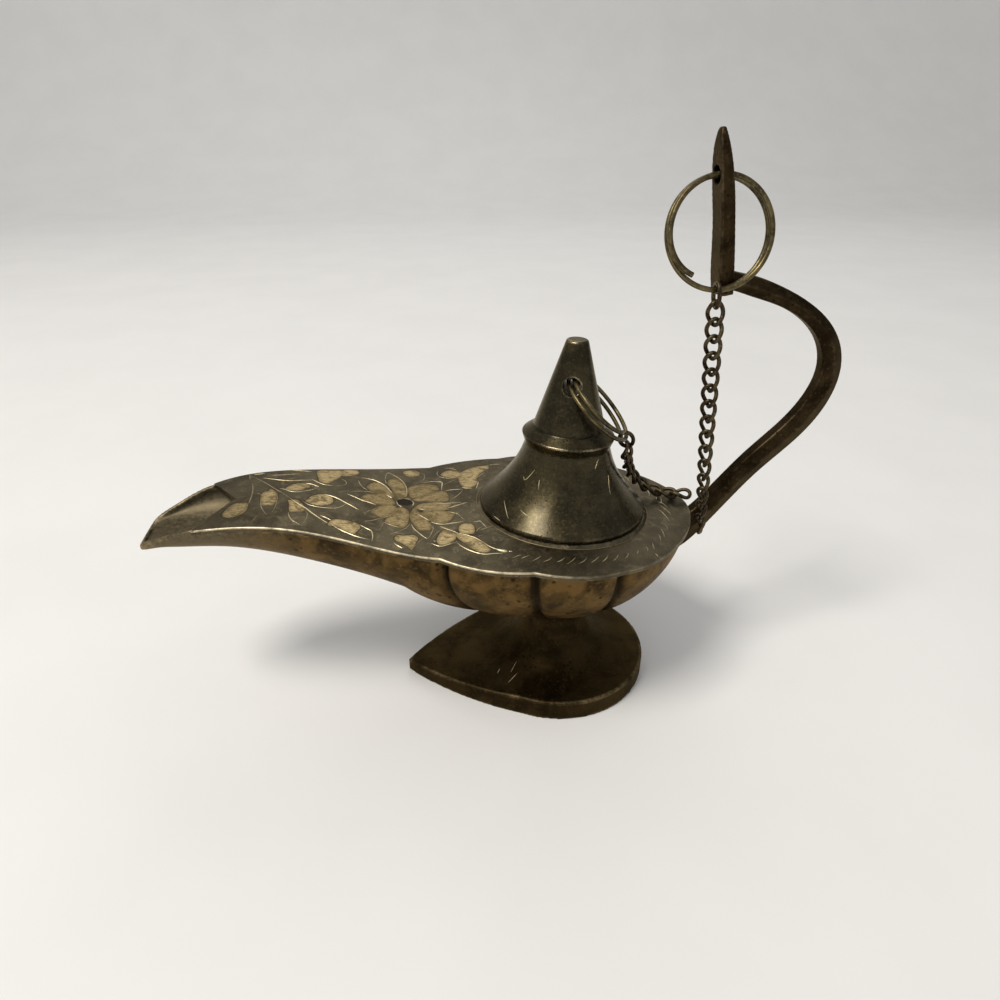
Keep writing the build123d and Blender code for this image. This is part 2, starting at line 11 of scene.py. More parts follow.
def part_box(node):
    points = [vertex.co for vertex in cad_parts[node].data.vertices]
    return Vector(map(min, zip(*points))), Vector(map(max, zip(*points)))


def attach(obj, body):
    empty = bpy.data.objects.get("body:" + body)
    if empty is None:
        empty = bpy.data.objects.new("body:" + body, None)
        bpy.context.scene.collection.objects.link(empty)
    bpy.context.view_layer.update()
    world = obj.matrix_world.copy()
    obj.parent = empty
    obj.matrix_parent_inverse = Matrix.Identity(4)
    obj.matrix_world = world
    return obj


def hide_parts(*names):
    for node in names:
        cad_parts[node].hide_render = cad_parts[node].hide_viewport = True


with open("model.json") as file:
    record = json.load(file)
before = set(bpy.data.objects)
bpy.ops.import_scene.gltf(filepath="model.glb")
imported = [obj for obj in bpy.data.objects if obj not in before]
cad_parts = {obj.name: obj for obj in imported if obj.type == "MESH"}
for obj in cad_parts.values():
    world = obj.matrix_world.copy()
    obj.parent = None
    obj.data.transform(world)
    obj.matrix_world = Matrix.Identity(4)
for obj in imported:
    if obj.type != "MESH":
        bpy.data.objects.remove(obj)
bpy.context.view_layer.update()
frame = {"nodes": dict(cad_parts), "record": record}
scene = bpy.context.scene
scene.view_settings.view_transform = "Standard"
mm = 0.001
castFrom = 0.2
weldGap = 1e-6
easeShare = 0.5
pitDepth = 0.12 * mm
liftAxis = frame["record"]["behaviour"]["joints"][0]["axis"]
seatHeight = 44.45
print("frame loaded:", len(frame["nodes"]), "nodes")


# Node helpers
def feed(socket, value):
    if isinstance(value, bpy.types.NodeSocket):
        socket.id_data.links.new(value, socket)
    else:
        socket.default_value = value


def feedAll(node, values):
    for key, value in values.items():
        feed(node.inputs[key], value)


def addNode(tree, kind, inputs=None, **settings):
    node = tree.nodes.new(kind)
    for key, value in settings.items():
        setattr(node, key, value)
    feedAll(node, inputs or {})
    return node


def outOf(tree, kind, inputs=None, **settings):
    return addNode(tree, kind, inputs, **settings).outputs[0]


def tone(colour):
    return (*colour, 1.0)


def mixColour(share, low, high):
    node = addNode(share.id_data, "ShaderNodeMix", data_type="RGBA")
    for place, value in ((0, share), (6, low), (7, high)):
        feed(node.inputs[place], tone(value) if isinstance(value, tuple) else value)
    return node.outputs[2]


def spread(value, low, high, outLow=0.0, outHigh=1.0):
    ends = {0: value, 1: low, 2: high, 3: outLow, 4: outHigh}
    return outOf(value.id_data, "ShaderNodeMapRange", ends, interpolation_type="SMOOTHSTEP")


def layered(colour, *layers):
    for share, top in layers:
        colour = mixColour(share, colour, top)
    return colour


def combine(operation, first, second):
    return outOf(first.id_data, "ShaderNodeMath", {0: first, 1: second}, operation=operation)


def times(value, *others):
    for other in others:
        value = combine("MULTIPLY", value, other)
    return value


def cloudNoise(coords, grain, detail=3.0, rough=0.55, distortion=0.0):
    values = {"Vector": coords, "Scale": 1 / (grain * mm), "Detail": detail, "Roughness": rough}
    return outOf(coords.id_data, "ShaderNodeTexNoise", {**values, "Distortion": distortion})


def spotNoise(coords, grain):
    return outOf(coords.id_data, "ShaderNodeTexVoronoi", {"Vector": coords, "Scale": 1 / (grain * mm)})


def readMark(tree, name):
    return addNode(tree, "ShaderNodeAttribute", attribute_name=name).outputs["Fac"]


def startMaterial(name):
    material = bpy.data.materials.new(name)
    material.use_nodes = True
    tree = material.node_tree
    shader = tree.nodes["Principled BSDF"]
    coords = addNode(tree, "ShaderNodeTexCoord").outputs["Object"]
    return material, tree, shader, coords


# Aged brass: cloudy patina and pits, darkened by the grime mark and brightened by the wear mark
def agedBrass(name, look):
    material, tree, shader, coords = startMaterial(name)
    cloud = cloudNoise(coords, look["cloud"], 4.0, 0.6, 0.3)
    grain = cloudNoise(coords, look["grain"], 4.0, 0.65)
    pitPlaces = spread(spotNoise(coords, look["pit"]), 0.12, 0.34, 1.0, 0.0)
    pits = times(pitPlaces, spread(cloudNoise(coords, look["pit"] * 4), 0.46, 0.62))
    colour = layered(
        look["dark"],
        (spread(cloud, 0.36, 0.64), look["mid"]),
        (times(spread(grain, 0.52, 0.74), look["glint"]), look["light"]),
        (times(pits, look["pitShare"]), look["grime"]),
    )
    if look.get("beak"):
        along = outOf(tree, "ShaderNodeSeparateXYZ", {0: coords})
        mottled, pitted = spread(grain, 0.34, 0.66), times(pits, look["beakPits"])
        grey = layered(look["beak"][0], (mottled, look["beak"][1]), (pitted, look["grime"]))
        colour = mixColour(spread(along, *(x * mm for x in look["beakRun"])), colour, grey)
    if look.get("edges"):
        # Convex edges are brightened: wear, and on the finial also a painted highlight
        wearAndHighlight = times(
            spread(readMark(tree, "wear"), 0.3, 0.95), spread(cloud, 0.42, 0.66, 0.12, 1.0),
            spread(grain, 0.36, 0.6, 0.35, 1.0), look["edges"],
        )
        # The grime mark darkens hollows; on the bowl it also holds painted shade along the lobe grooves
        grime = times(readMark(tree, "grime"), look["grimeShare"])
        colour = layered(colour, (grime, look["grime"]), (wearAndHighlight, look["worn"]))
    if look.get("verdigris"):
        bloom = spread(cloudNoise(coords, look["bloomSize"]), 0.62, 0.72, 0.0, look["verdigris"])
        colour = mixColour(bloom, colour, look["bloom"])
    height = combine("SUBTRACT", times(grain, 0.7), times(pits, 0.8))
    relief = {"Strength": look["bump"], "Distance": pitDepth, "Height": height}
    feedAll(shader, {
        "Base Color": colour, "Roughness": spread(grain, 0.3, 0.72, *look["rough"]),
        "Normal": outOf(tree, "ShaderNodeBump", relief), "Metallic": look["metal"],
        "Coat Weight": look.get("coat", 0.0), "Coat Roughness": look.get("coatRough", 0.22),
        "Specular Tint": tone(look.get("tint", (1.0, 1.0, 1.0))),
    })
    return material


# Mesh helpers
def meshPiece(name, points, faces, edges=()):
    mesh = bpy.data.meshes.new(name)
    mesh.from_pydata([tuple(p) for p in points], list(edges), [tuple(f) for f in faces])
    piece = bpy.data.objects.new(name, mesh)
    scene.collection.objects.link(piece)
    return piece


def freeze(piece):
    graph = bpy.context.evaluated_depsgraph_get()
    made = bpy.data.meshes.new_from_object(piece.evaluated_get(graph), preserve_all_data_layers=True, depsgraph=graph)
    piece.modifiers.clear()
    piece.data = made
    return piece


def surfaceTree(mesh):
    return BVHTree.FromPolygons([v.co for v in mesh.vertices], [list(p.vertices) for p in mesh.polygons])


def castDown(tree, x, y):
    return tree.ray_cast(Vector((x, y, castFrom)), Vector((0, 0, -1)))[0]


def setMark(mesh, name, values):
    mark = mesh.attributes.get(name) or mesh.attributes.new(name, "FLOAT", "POINT")
    mark.data.foreach_set("value", np.asarray(values, np.float32))


def pointsOf(mesh):
    places = np.zeros(len(mesh.vertices) * 3)
    mesh.vertices.foreach_get("co", places)
    return places.reshape(-1, 3)


def movePoints(mesh, places):
    mesh.vertices.foreach_set("co", places.ravel())
    mesh.update()


def normalsOf(mesh):
    normals = np.zeros(len(mesh.vertices) * 3)
    mesh.vertex_normals.foreach_get("vector", normals)
    return normals.reshape(-1, 3)


# Convex edges get a wear mark and hollows a grime mark, from the bend of the surface
def markEdges(piece, limit, rounds=2):
    mesh = piece.data
    places, normals = pointsOf(mesh), normalsOf(mesh)
    ends = np.zeros(len(mesh.edges) * 2, int)
    mesh.edges.foreach_get("vertices", ends)
    first, second = ends.reshape(-1, 2).T
    run = places[second] - places[first]
    bend = ((normals[second] - normals[first]) * run).sum(1) / np.maximum((run * run).sum(1), 1e-12)
    count = np.bincount(first, minlength=len(places)) + np.bincount(second, minlength=len(places))

    def shared(values):
        return np.bincount(first, values, len(places)) + np.bincount(second, values, len(places))

    curve = shared(bend) / np.maximum(count, 1) * mm
    for step in range(rounds):
        near = np.bincount(first, curve[second], len(places)) + np.bincount(second, curve[first], len(places))
        curve = 0.5 * curve + 0.5 * near / np.maximum(count, 1)
    setMark(mesh, "wear", np.clip(curve / limit, 0, 1))
    setMark(mesh, "grime", np.clip(-curve / limit, 0, 1))


# A copy of a CAD node as a casting: merged, remeshed fine and eased at its edges
def castCopy(node, name, voxel, rounds):
    piece = bpy.data.objects.new(name, frame["nodes"][node].data.copy())
    scene.collection.objects.link(piece)
    shell = bmesh.new()
    shell.from_mesh(piece.data)
    bmesh.ops.remove_doubles(shell, verts=shell.verts, dist=weldGap)
    shell.to_mesh(piece.data)
    shell.free()
    piece.data.materials.clear()
    skin = piece.modifiers.new("casting", "REMESH")
    skin.mode = "VOXEL"
    skin.voxel_size = voxel * mm
    skin.use_smooth_shade = True
    ease = piece.modifiers.new("eased", "SMOOTH")
    ease.factor = easeShare
    ease.iterations = rounds
    return freeze(piece)


def dress(piece, body, slot, material, *nodes):
    piece.data.materials.clear()
    piece.data.materials.append(material)
    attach(piece, body)
    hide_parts(*nodes)


def makeCasting(node, name, body, slot, material, look, *shapers):
    piece = castCopy(node, name, look["voxel"], look["rounds"])
    for shaper in shapers:
        shaper(piece, look)
    markEdges(piece, look["limit"])
    dress(piece, body, slot, material, node)
    return piece


def paintNode(node, material):
    target = frame["nodes"][node]
    if not target.material_slots:
        target.data.materials.append(material)
    for place in target.material_slots:
        place.material = material


def smoothLine(points, step, closed=False):
    stops = np.array(points, float)
    count = len(stops)
    line = []
    for k in range(count if closed else count - 1):
        here, after = stops[k], stops[(k + 1) % count]
        before = stops[k - 1] if closed or k else 2 * here - after
        beyond = stops[(k + 2) % count] if closed or k + 2 < count else 2 * after - here
        parts = max(2, int(np.ceil(np.linalg.norm(after - here) / step)))
        for t in np.arange(parts) / parts:
            line.append(0.5 * (2 * here + (after - before) * t + (2 * before - 5 * here + 4 * after - beyond) * t**2
                               + (3 * here - before - 3 * after + beyond) * t**3))
    if not closed:
        line.append(stops[-1])
    return np.array(line)


# A closed outline whose sharp corners stay sharp
def petalLine(points, step, corner):
    stops = np.array(points, float)
    before, after = stops - np.roll(stops, 1, 0), np.roll(stops, -1, 0) - stops
    spans = np.linalg.norm(before, axis=1) * np.linalg.norm(after, axis=1)
    straight = (before * after).sum(1) / np.maximum(spans, 1e-9)
    sharp = np.where(straight < math.cos(math.radians(corner)))[0]
    if not len(sharp):
        return smoothLine(points, step, True)
    ring = np.roll(stops, -sharp[0], 0)
    ring = np.concatenate([ring, ring[:1]])
    ends = [*(sharp - sharp[0]), len(stops)]
    return np.concatenate([smoothLine(ring[a : b + 1], step)[:-1] for a, b in zip(ends, ends[1:])])


def startTree(name, inputs):
    tree = bpy.data.node_groups.new(name, "GeometryNodeTree")
    for label, kind in {"Geometry": "Geometry", **inputs}.items():
        tree.interface.new_socket(label, in_out="INPUT", socket_type="NodeSocket" + kind)
    tree.interface.new_socket("Geometry", in_out="OUTPUT", socket_type="NodeSocketGeometry")
    return tree, addNode(tree, "NodeGroupInput").outputs


def endTree(tree, shape, material):
    whole = outOf(tree, "GeometryNodeRealizeInstances", {"Geometry": shape})
    coated = outOf(tree, "GeometryNodeSetMaterial", {"Geometry": whole, "Material": material})
    addNode(tree, "NodeGroupOutput", {"Geometry": coated})


def growTree(piece, tree, values):
    maker = piece.modifiers.new("nodes", "NODES")
    maker.node_group = tree
    for socket in tree.interface.items_tree:
        if socket.name in values:
            maker[socket.identifier] = values[socket.name]
    return freeze(piece)


# Floor, light and camera
stageLook = {
    "floorColour": (0.80, 0.79, 0.77), "dim": 0.97, "mottle": 60.0, "floorRough": 0.75,
    "floorStart": -8.0, "halfWidth": 8.0, "wallStart": 0.9, "wallBend": 0.5, "wallTop": 2.6, "wallSteps": 12,
    "world": 0.5, "worldColour": (0.98, 0.99, 1.0), "aim": (0, 0, 0.045),
    "lights": [
        ("key", (-0.50, -0.30, 0.98), 8.5, 0.36, (1.0, 0.96, 0.9)),
        ("fill", (0.10, 0.80, 0.85), 1.6, 0.7, (1.0, 1.0, 1.0)),
    ],
}


def makeStage(look):
    start, bend = look["wallStart"], look["wallBend"]
    profile = [(look["floorStart"], 0.0), (start, 0.0)]
    for k in range(1, look["wallSteps"] + 1):
        turn = math.pi / 2 * k / look["wallSteps"]
        profile.append((start + bend * math.sin(turn), bend * (1 - math.cos(turn))))
    profile.append((start + bend, look["wallTop"]))
    points = [(side * look["halfWidth"], y, z) for y, z in profile for side in (-1, 1)]
    faces = [(2 * k, 2 * k + 1, 2 * k + 3, 2 * k + 2) for k in range(len(profile) - 1)]
    floor = meshPiece("floor", points, faces)
    floor.data.shade_smooth()
    material, tree, shader, coords = startMaterial("paleFloor")
    mottle = spread(cloudNoise(coords, look["mottle"]), 0.3, 0.7)
    pale = look["floorColour"]
    dim = tuple(look["dim"] * value for value in pale)
    feedAll(shader, {"Base Color": mixColour(mottle, dim, pale), "Roughness": look["floorRough"]})
    floor.data.materials.append(material)
    world = bpy.data.worlds.new("studio")
    world.use_nodes = True
    sky = world.node_tree.nodes["Background"].inputs
    sky["Color"].default_value = tone(look["worldColour"])
    sky["Strength"].default_value = look["world"]
    scene.world = world
    for name, place, power, size, colour in look["lights"]:
        lamp = bpy.data.lights.new(name, "AREA")
        lamp.energy, lamp.size, lamp.color = power, size, colour
        holder = bpy.data.objects.new(name, lamp)
        holder.location = place
        holder.rotation_euler = (Vector(look["aim"]) - holder.location).to_track_quat("-Z", "Y").to_euler()
        scene.collection.objects.link(holder)


viewLook = {
    "place": (-33.14, -135.66, 120.14), "turns": (-8.079, 28.435, 0.339), "lens": 25.418, "sensor": 36.0,
    "clip": 0.005,
}


def makeCamera(look):
    yaw, pitch, roll = (math.radians(turn) for turn in look["turns"])
    ahead = Vector((-math.sin(yaw) * math.cos(pitch), math.cos(yaw) * math.cos(pitch), -math.sin(pitch)))
    right = Vector((math.cos(yaw), math.sin(yaw), 0))
    up = right.cross(ahead)
    tilted = right * math.cos(roll) + up * math.sin(roll)
    raised = up * math.cos(roll) - right * math.sin(roll)
    lens = bpy.data.cameras.new("photoView")
    lens.sensor_width, lens.lens, lens.clip_start = look["sensor"], look["lens"], look["clip"]
    camera = bpy.data.objects.new("photoView", lens)
    turn = Matrix((tilted, raised, -ahead)).transposed()
    camera.matrix_world = Matrix.Translation(Vector(look["place"]) * mm) @ turn.to_4x4()
    scene.collection.objects.link(camera)
    scene.camera = camera


makeStage(stageLook)
makeCamera(viewLook)
print("floor, light and camera made")

# Deck: sizes in millimetres, and the outlines of its engraved petals and leaves as (x, y)
deckShape = {
    "column": 0.42, "frontGap": 0.12, "rearGap": 0.004, "rearRun": 8.0, "rearSteps": 24, "rows": 62, "shares": 60,
    "lipRows": [0.6, 0.42, 0.27, 0.15, 0.06, 0.0], "lip": 0.3, "plate": 0.9, "level": 44.0, "recess": 0.06,
    "search": 34.0, "coarse": 0.4, "fine": 0.2, "halvings": 14, "trim": 0.01, "apex": -69.5, "inset": 0.03,
    "hole": 13.65, "holeBand": 0.6, "holeNear": 0.05, "holeStep": 0.06, "holeSlack": 0.02, "weld": 0.002, "sharp": 48.0,
    "eye": (-34.7, 1.0), "eyeSize": (1.7, 1.55), "corner": 66.0, "petalStep": 0.4, "petalReach": 0.3,
    "margin": 1.0, "bevel": 0.2, "rimKeep": 0.5, "eyeGain": 1.5, "far": 9.0,
    "petals": [
        [(-71.0, -6.5), (-70.5, -3.9), (-69.9, -2.7), (-69.0, -2.1), (-67.8, -2.1), (-66.9, -2.2), (-66.4, -3.1),
         (-66.2, -4.4), (-66.4, -6.0), (-67.1, -7.1), (-68.2, -7.8), (-69.3, -8.1)],
        [(-64.2, -1.6), (-64.4, -0.3), (-64.3, 1.3), (-63.8, 2.3), (-63.1, 2.2), (-63.1, 3.3), (-62.5, 3.2),
         (-61.7, 2.0), (-61.0, 0.2), (-60.8, -1.8), (-61.0, -3.5), (-61.3, -4.2), (-62.5, -4.2), (-63.6, -4.0)],
        [(-58.8, -1.6), (-58.0, -1.9), (-57.5, -1.5), (-56.7, -1.7), (-56.1, -2.6), (-55.3, -3.8), (-55.0, -5.3),
         (-55.2, -6.3), (-56.0, -6.5), (-56.9, -6.7), (-57.8, -6.9), (-58.1, -5.2), (-58.3, -3.3)],
        [(-59.8, 3.2), (-59.4, 4.4), (-58.7, 5.3), (-57.7, 5.9), (-56.5, 6.3), (-55.5, 6.3), (-54.9, 5.6),
         (-54.9, 4.3), (-55.8, 3.7), (-56.1, 3.1), (-56.7, 2.6), (-57.9, 2.3), (-59.2, 2.6)],
        [(-55.2, -1.9), (-54.7, -0.9), (-54.2, 0.2), (-53.3, 1.0), (-52.1, 1.5), (-50.8, 1.4), (-50.0, 0.5),
         (-49.6, -1.0), (-49.9, -2.4), (-50.9, -3.2), (-52.5, -3.6), (-53.9, -3.1), (-54.8, -2.4)],
        [(-50.1, -10.7), (-49.6, -9.2), (-49.0, -8.5), (-48.0, -8.4), (-46.8, -8.5), (-45.6, -8.8), (-44.5, -9.4),
         (-43.8, -10.2), (-43.8, -11.2), (-44.3, -12.4), (-44.8, -13.6), (-45.6, -13.4), (-46.6, -12.7),
         (-47.6, -11.9), (-48.8, -11.2), (-49.8, -11.2)],
        [(-54.1, 12.0), (-53.9, 13.1), (-52.4, 13.8), (-50.0, 14.6), (-48.5, 14.2), (-48.5, 11.9), (-49.2, 9.9),
         (-50.1, 8.5), (-51.0, 7.0), (-52.1, 6.7), (-53.1, 7.6), (-53.6, 9.6)],
        [(-48.5, 14.5), (-47.0, 15.4), (-45.2, 15.3), (-44.8, 14.0), (-45.7, 12.6), (-47.2, 11.6), (-48.4, 11.4)],
        [(-42.6, 6.1), (-43.0, 7.1), (-42.3, 8.8), (-41.2, 9.9), (-40.3, 9.9), (-39.4, 9.0), (-38.5, 7.4),
         (-37.6, 5.8), (-37.1, 4.4), (-36.8, 3.2), (-37.6, 2.8), (-38.7, 3.6), (-39.4, 4.2), (-40.7, 4.4),
         (-42.0, 5.1)],
        [(-44.1, 1.0), (-43.8, 2.3), (-42.8, 3.5), (-41.3, 4.2), (-39.6, 4.3), (-38.3, 3.7), (-37.4, 2.4),
         (-36.7, 0.2), (-37.4, -0.6), (-38.9, -0.6), (-40.4, -1.0), (-41.6, -0.3), (-42.9, -0.0)],
        [(-42.0, -4.1), (-41.2, -2.6), (-40.0, -1.3), (-38.3, -0.3), (-36.8, -0.9), (-36.5, -2.2), (-37.0, -3.8),
         (-37.9, -5.2), (-38.7, -6.3), (-39.7, -6.4), (-40.7, -5.7), (-41.7, -4.8)],
        [(-39.1, -7.8), (-38.7, -6.6), (-37.8, -5.2), (-36.9, -3.4), (-36.4, -1.8), (-35.8, -1.1), (-34.7, -1.6),
         (-34.0, -2.8), (-33.9, -5.0), (-34.1, -7.0), (-34.5, -8.8), (-35.2, -9.8), (-36.5, -9.4), (-37.9, -8.8)],
        [(-33.5, -3.2), (-33.0, -1.7), (-32.4, -1.4), (-31.8, -2.9), (-31.0, -4.6), (-30.2, -6.2), (-29.5, -7.8),
         (-29.3, -9.2), (-29.8, -10.4), (-30.9, -10.6), (-32.1, -10.6), (-32.9, -9.1), (-33.5, -7.2),
         (-33.8, -5.4)],
        [(-31.6, -3.6), (-30.7, -2.5), (-29.4, -2.2), (-27.7, -2.2), (-26.0, -2.5), (-24.6, -3.5), (-24.2, -4.1),
         (-24.9, -5.6), (-25.6, -7.1), (-26.8, -7.6), (-28.2, -7.6), (-29.4, -6.8), (-30.4, -5.6)],
        [(-33.0, -1.5), (-32.1, -0.1), (-31.0, 0.8), (-29.2, 1.4), (-27.5, 1.6), (-25.7, 1.0), (-24.4, 0.8),
         (-25.0, -0.8), (-25.5, -1.9), (-27.3, -2.2), (-29.4, -2.0), (-31.1, -2.2)],
        [(-33.1, 2.4), (-32.0, 3.5), (-30.6, 4.2), (-29.5, 5.3), (-28.3, 6.3), (-26.9, 7.1), (-25.8, 6.9),
         (-25.0, 5.4), (-24.9, 3.4), (-25.2, 2.0), (-26.8, 1.7), (-28.8, 1.7), (-30.5, 1.9), (-32.0, 1.6)],
        [(-33.6, 4.1), (-33.9, 7.1), (-33.6, 8.6), (-32.7, 9.5), (-31.5, 10.1), (-30.1, 10.7), (-28.8, 10.5),
         (-27.4, 9.8), (-26.8, 7.9), (-28.1, 6.6), (-29.5, 5.3), (-30.9, 4.2), (-32.2, 3.4), (-33.1, 2.9)],
        [(-38.3, 11.4), (-37.6, 12.5), (-36.5, 13.2), (-35.4, 12.2), (-34.7, 10.7), (-34.2, 8.3), (-34.0, 6.0),
         (-34.2, 4.0), (-35.1, 2.8), (-35.9, 2.2), (-36.6, 3.3), (-37.2, 5.9), (-37.9, 8.0), (-38.5, 9.5)],
        [(-37.1, -13.8), (-36.5, -12.4), (-35.5, -12.7), (-34.3, -12.4), (-33.3, -12.3), (-32.5, -12.9),
         (-32.4, -13.8), (-32.9, -15.2), (-33.5, -17.2), (-33.9, -17.6), (-34.8, -16.4), (-35.8, -15.4),
         (-36.7, -14.8)],
        [(-28.6, -13.4), (-27.8, -11.3), (-27.1, -10.2), (-26.3, -10.0), (-25.6, -10.8), (-24.8, -11.9),
         (-24.8, -13.6), (-25.7, -14.7), (-26.9, -15.7), (-28.2, -16.0), (-28.7, -14.8)],
        [(-24.8, -11.7), (-23.8, -11.4), (-22.4, -12.0), (-21.0, -13.0), (-20.1, -14.0), (-19.3, -15.5),
         (-18.5, -17.1), (-18.0, -17.8), (-18.9, -18.6), (-20.1, -18.7), (-21.2, -18.0), (-22.4, -16.5),
         (-23.6, -14.7), (-24.5, -13.2)],
        [(-23.9, -9.6), (-23.4, -8.3), (-22.2, -7.7), (-21.1, -7.9), (-20.6, -9.0), (-20.6, -10.6), (-20.9, -11.9),
         (-22.2, -11.9), (-23.5, -11.6), (-23.9, -10.8)],
        [(-34.9, 17.0), (-33.9, 18.0), (-32.2, 18.3), (-30.9, 17.3), (-31.1, 15.5), (-32.1, 14.6), (-33.5, 14.4),
         (-34.4, 15.2)],
        [(-26.0, 16.0), (-25.0, 17.9), (-23.5, 18.6), (-21.9, 18.2), (-20.8, 16.3), (-21.7, 14.5), (-23.2, 13.8),
         (-24.8, 14.3)],
        [(-21.6, 15.7), (-20.4, 18.1), (-18.6, 19.7), (-16.4, 20.9), (-14.2, 21.3), (-13.8, 19.8), (-15.1, 18.0),
         (-16.5, 16.3), (-17.5, 13.7), (-17.6, 11.4), (-18.4, 9.5), (-19.7, 8.5), (-21.0, 8.8), (-21.8, 10.5),
         (-22.0, 12.8)],
    ],
    "shades": [
        0.85, 0.95, 0.91, 0.86, 0.97, 0.92, 0.88, 0.98, 0.39, 0.34, 0.3, 0.41, 0.36, 0.32, 0.42, 0.38, 0.33, 0.43,
        0.94, 0.9, 0.85, 0.95, 0.91, 0.86, 0.97,
    ],
}
# The deck's worn colour paints the rim's bright line, partly wear and partly a painted highlight
deckLook = {
    "dark": (0.054, 0.044, 0.027), "mid": (0.112, 0.092, 0.056), "light": (0.23, 0.19, 0.115),
    "grime": (0.014, 0.011, 0.008), "rear": (0.17, 0.15, 0.11), "worn": (0.80, 0.68, 0.46),
    "petalDark": (0.115, 0.080, 0.032), "petalLight": (0.30, 0.22, 0.10), "petalBright": (0.66, 0.51, 0.265),
    "cloud": 7.0, "grain": 0.55, "stipple": 0.24, "smear": 2.2, "speck": 0.9, "rearRun": (-8.0, 18.0),
    "rimRun": (-14.0, 0.0), "streak": 0.5, "streakTurn": 0.5, "streakScale": (0.3, 1.7, 1.0), "petalShine": 0.75,
    "outline": 0.55, "rough": (0.34, 0.52), "bump": 0.3, "relief": 0.1, "metal": 1.0, "tint": (0.9, 0.86, 0.78),
}

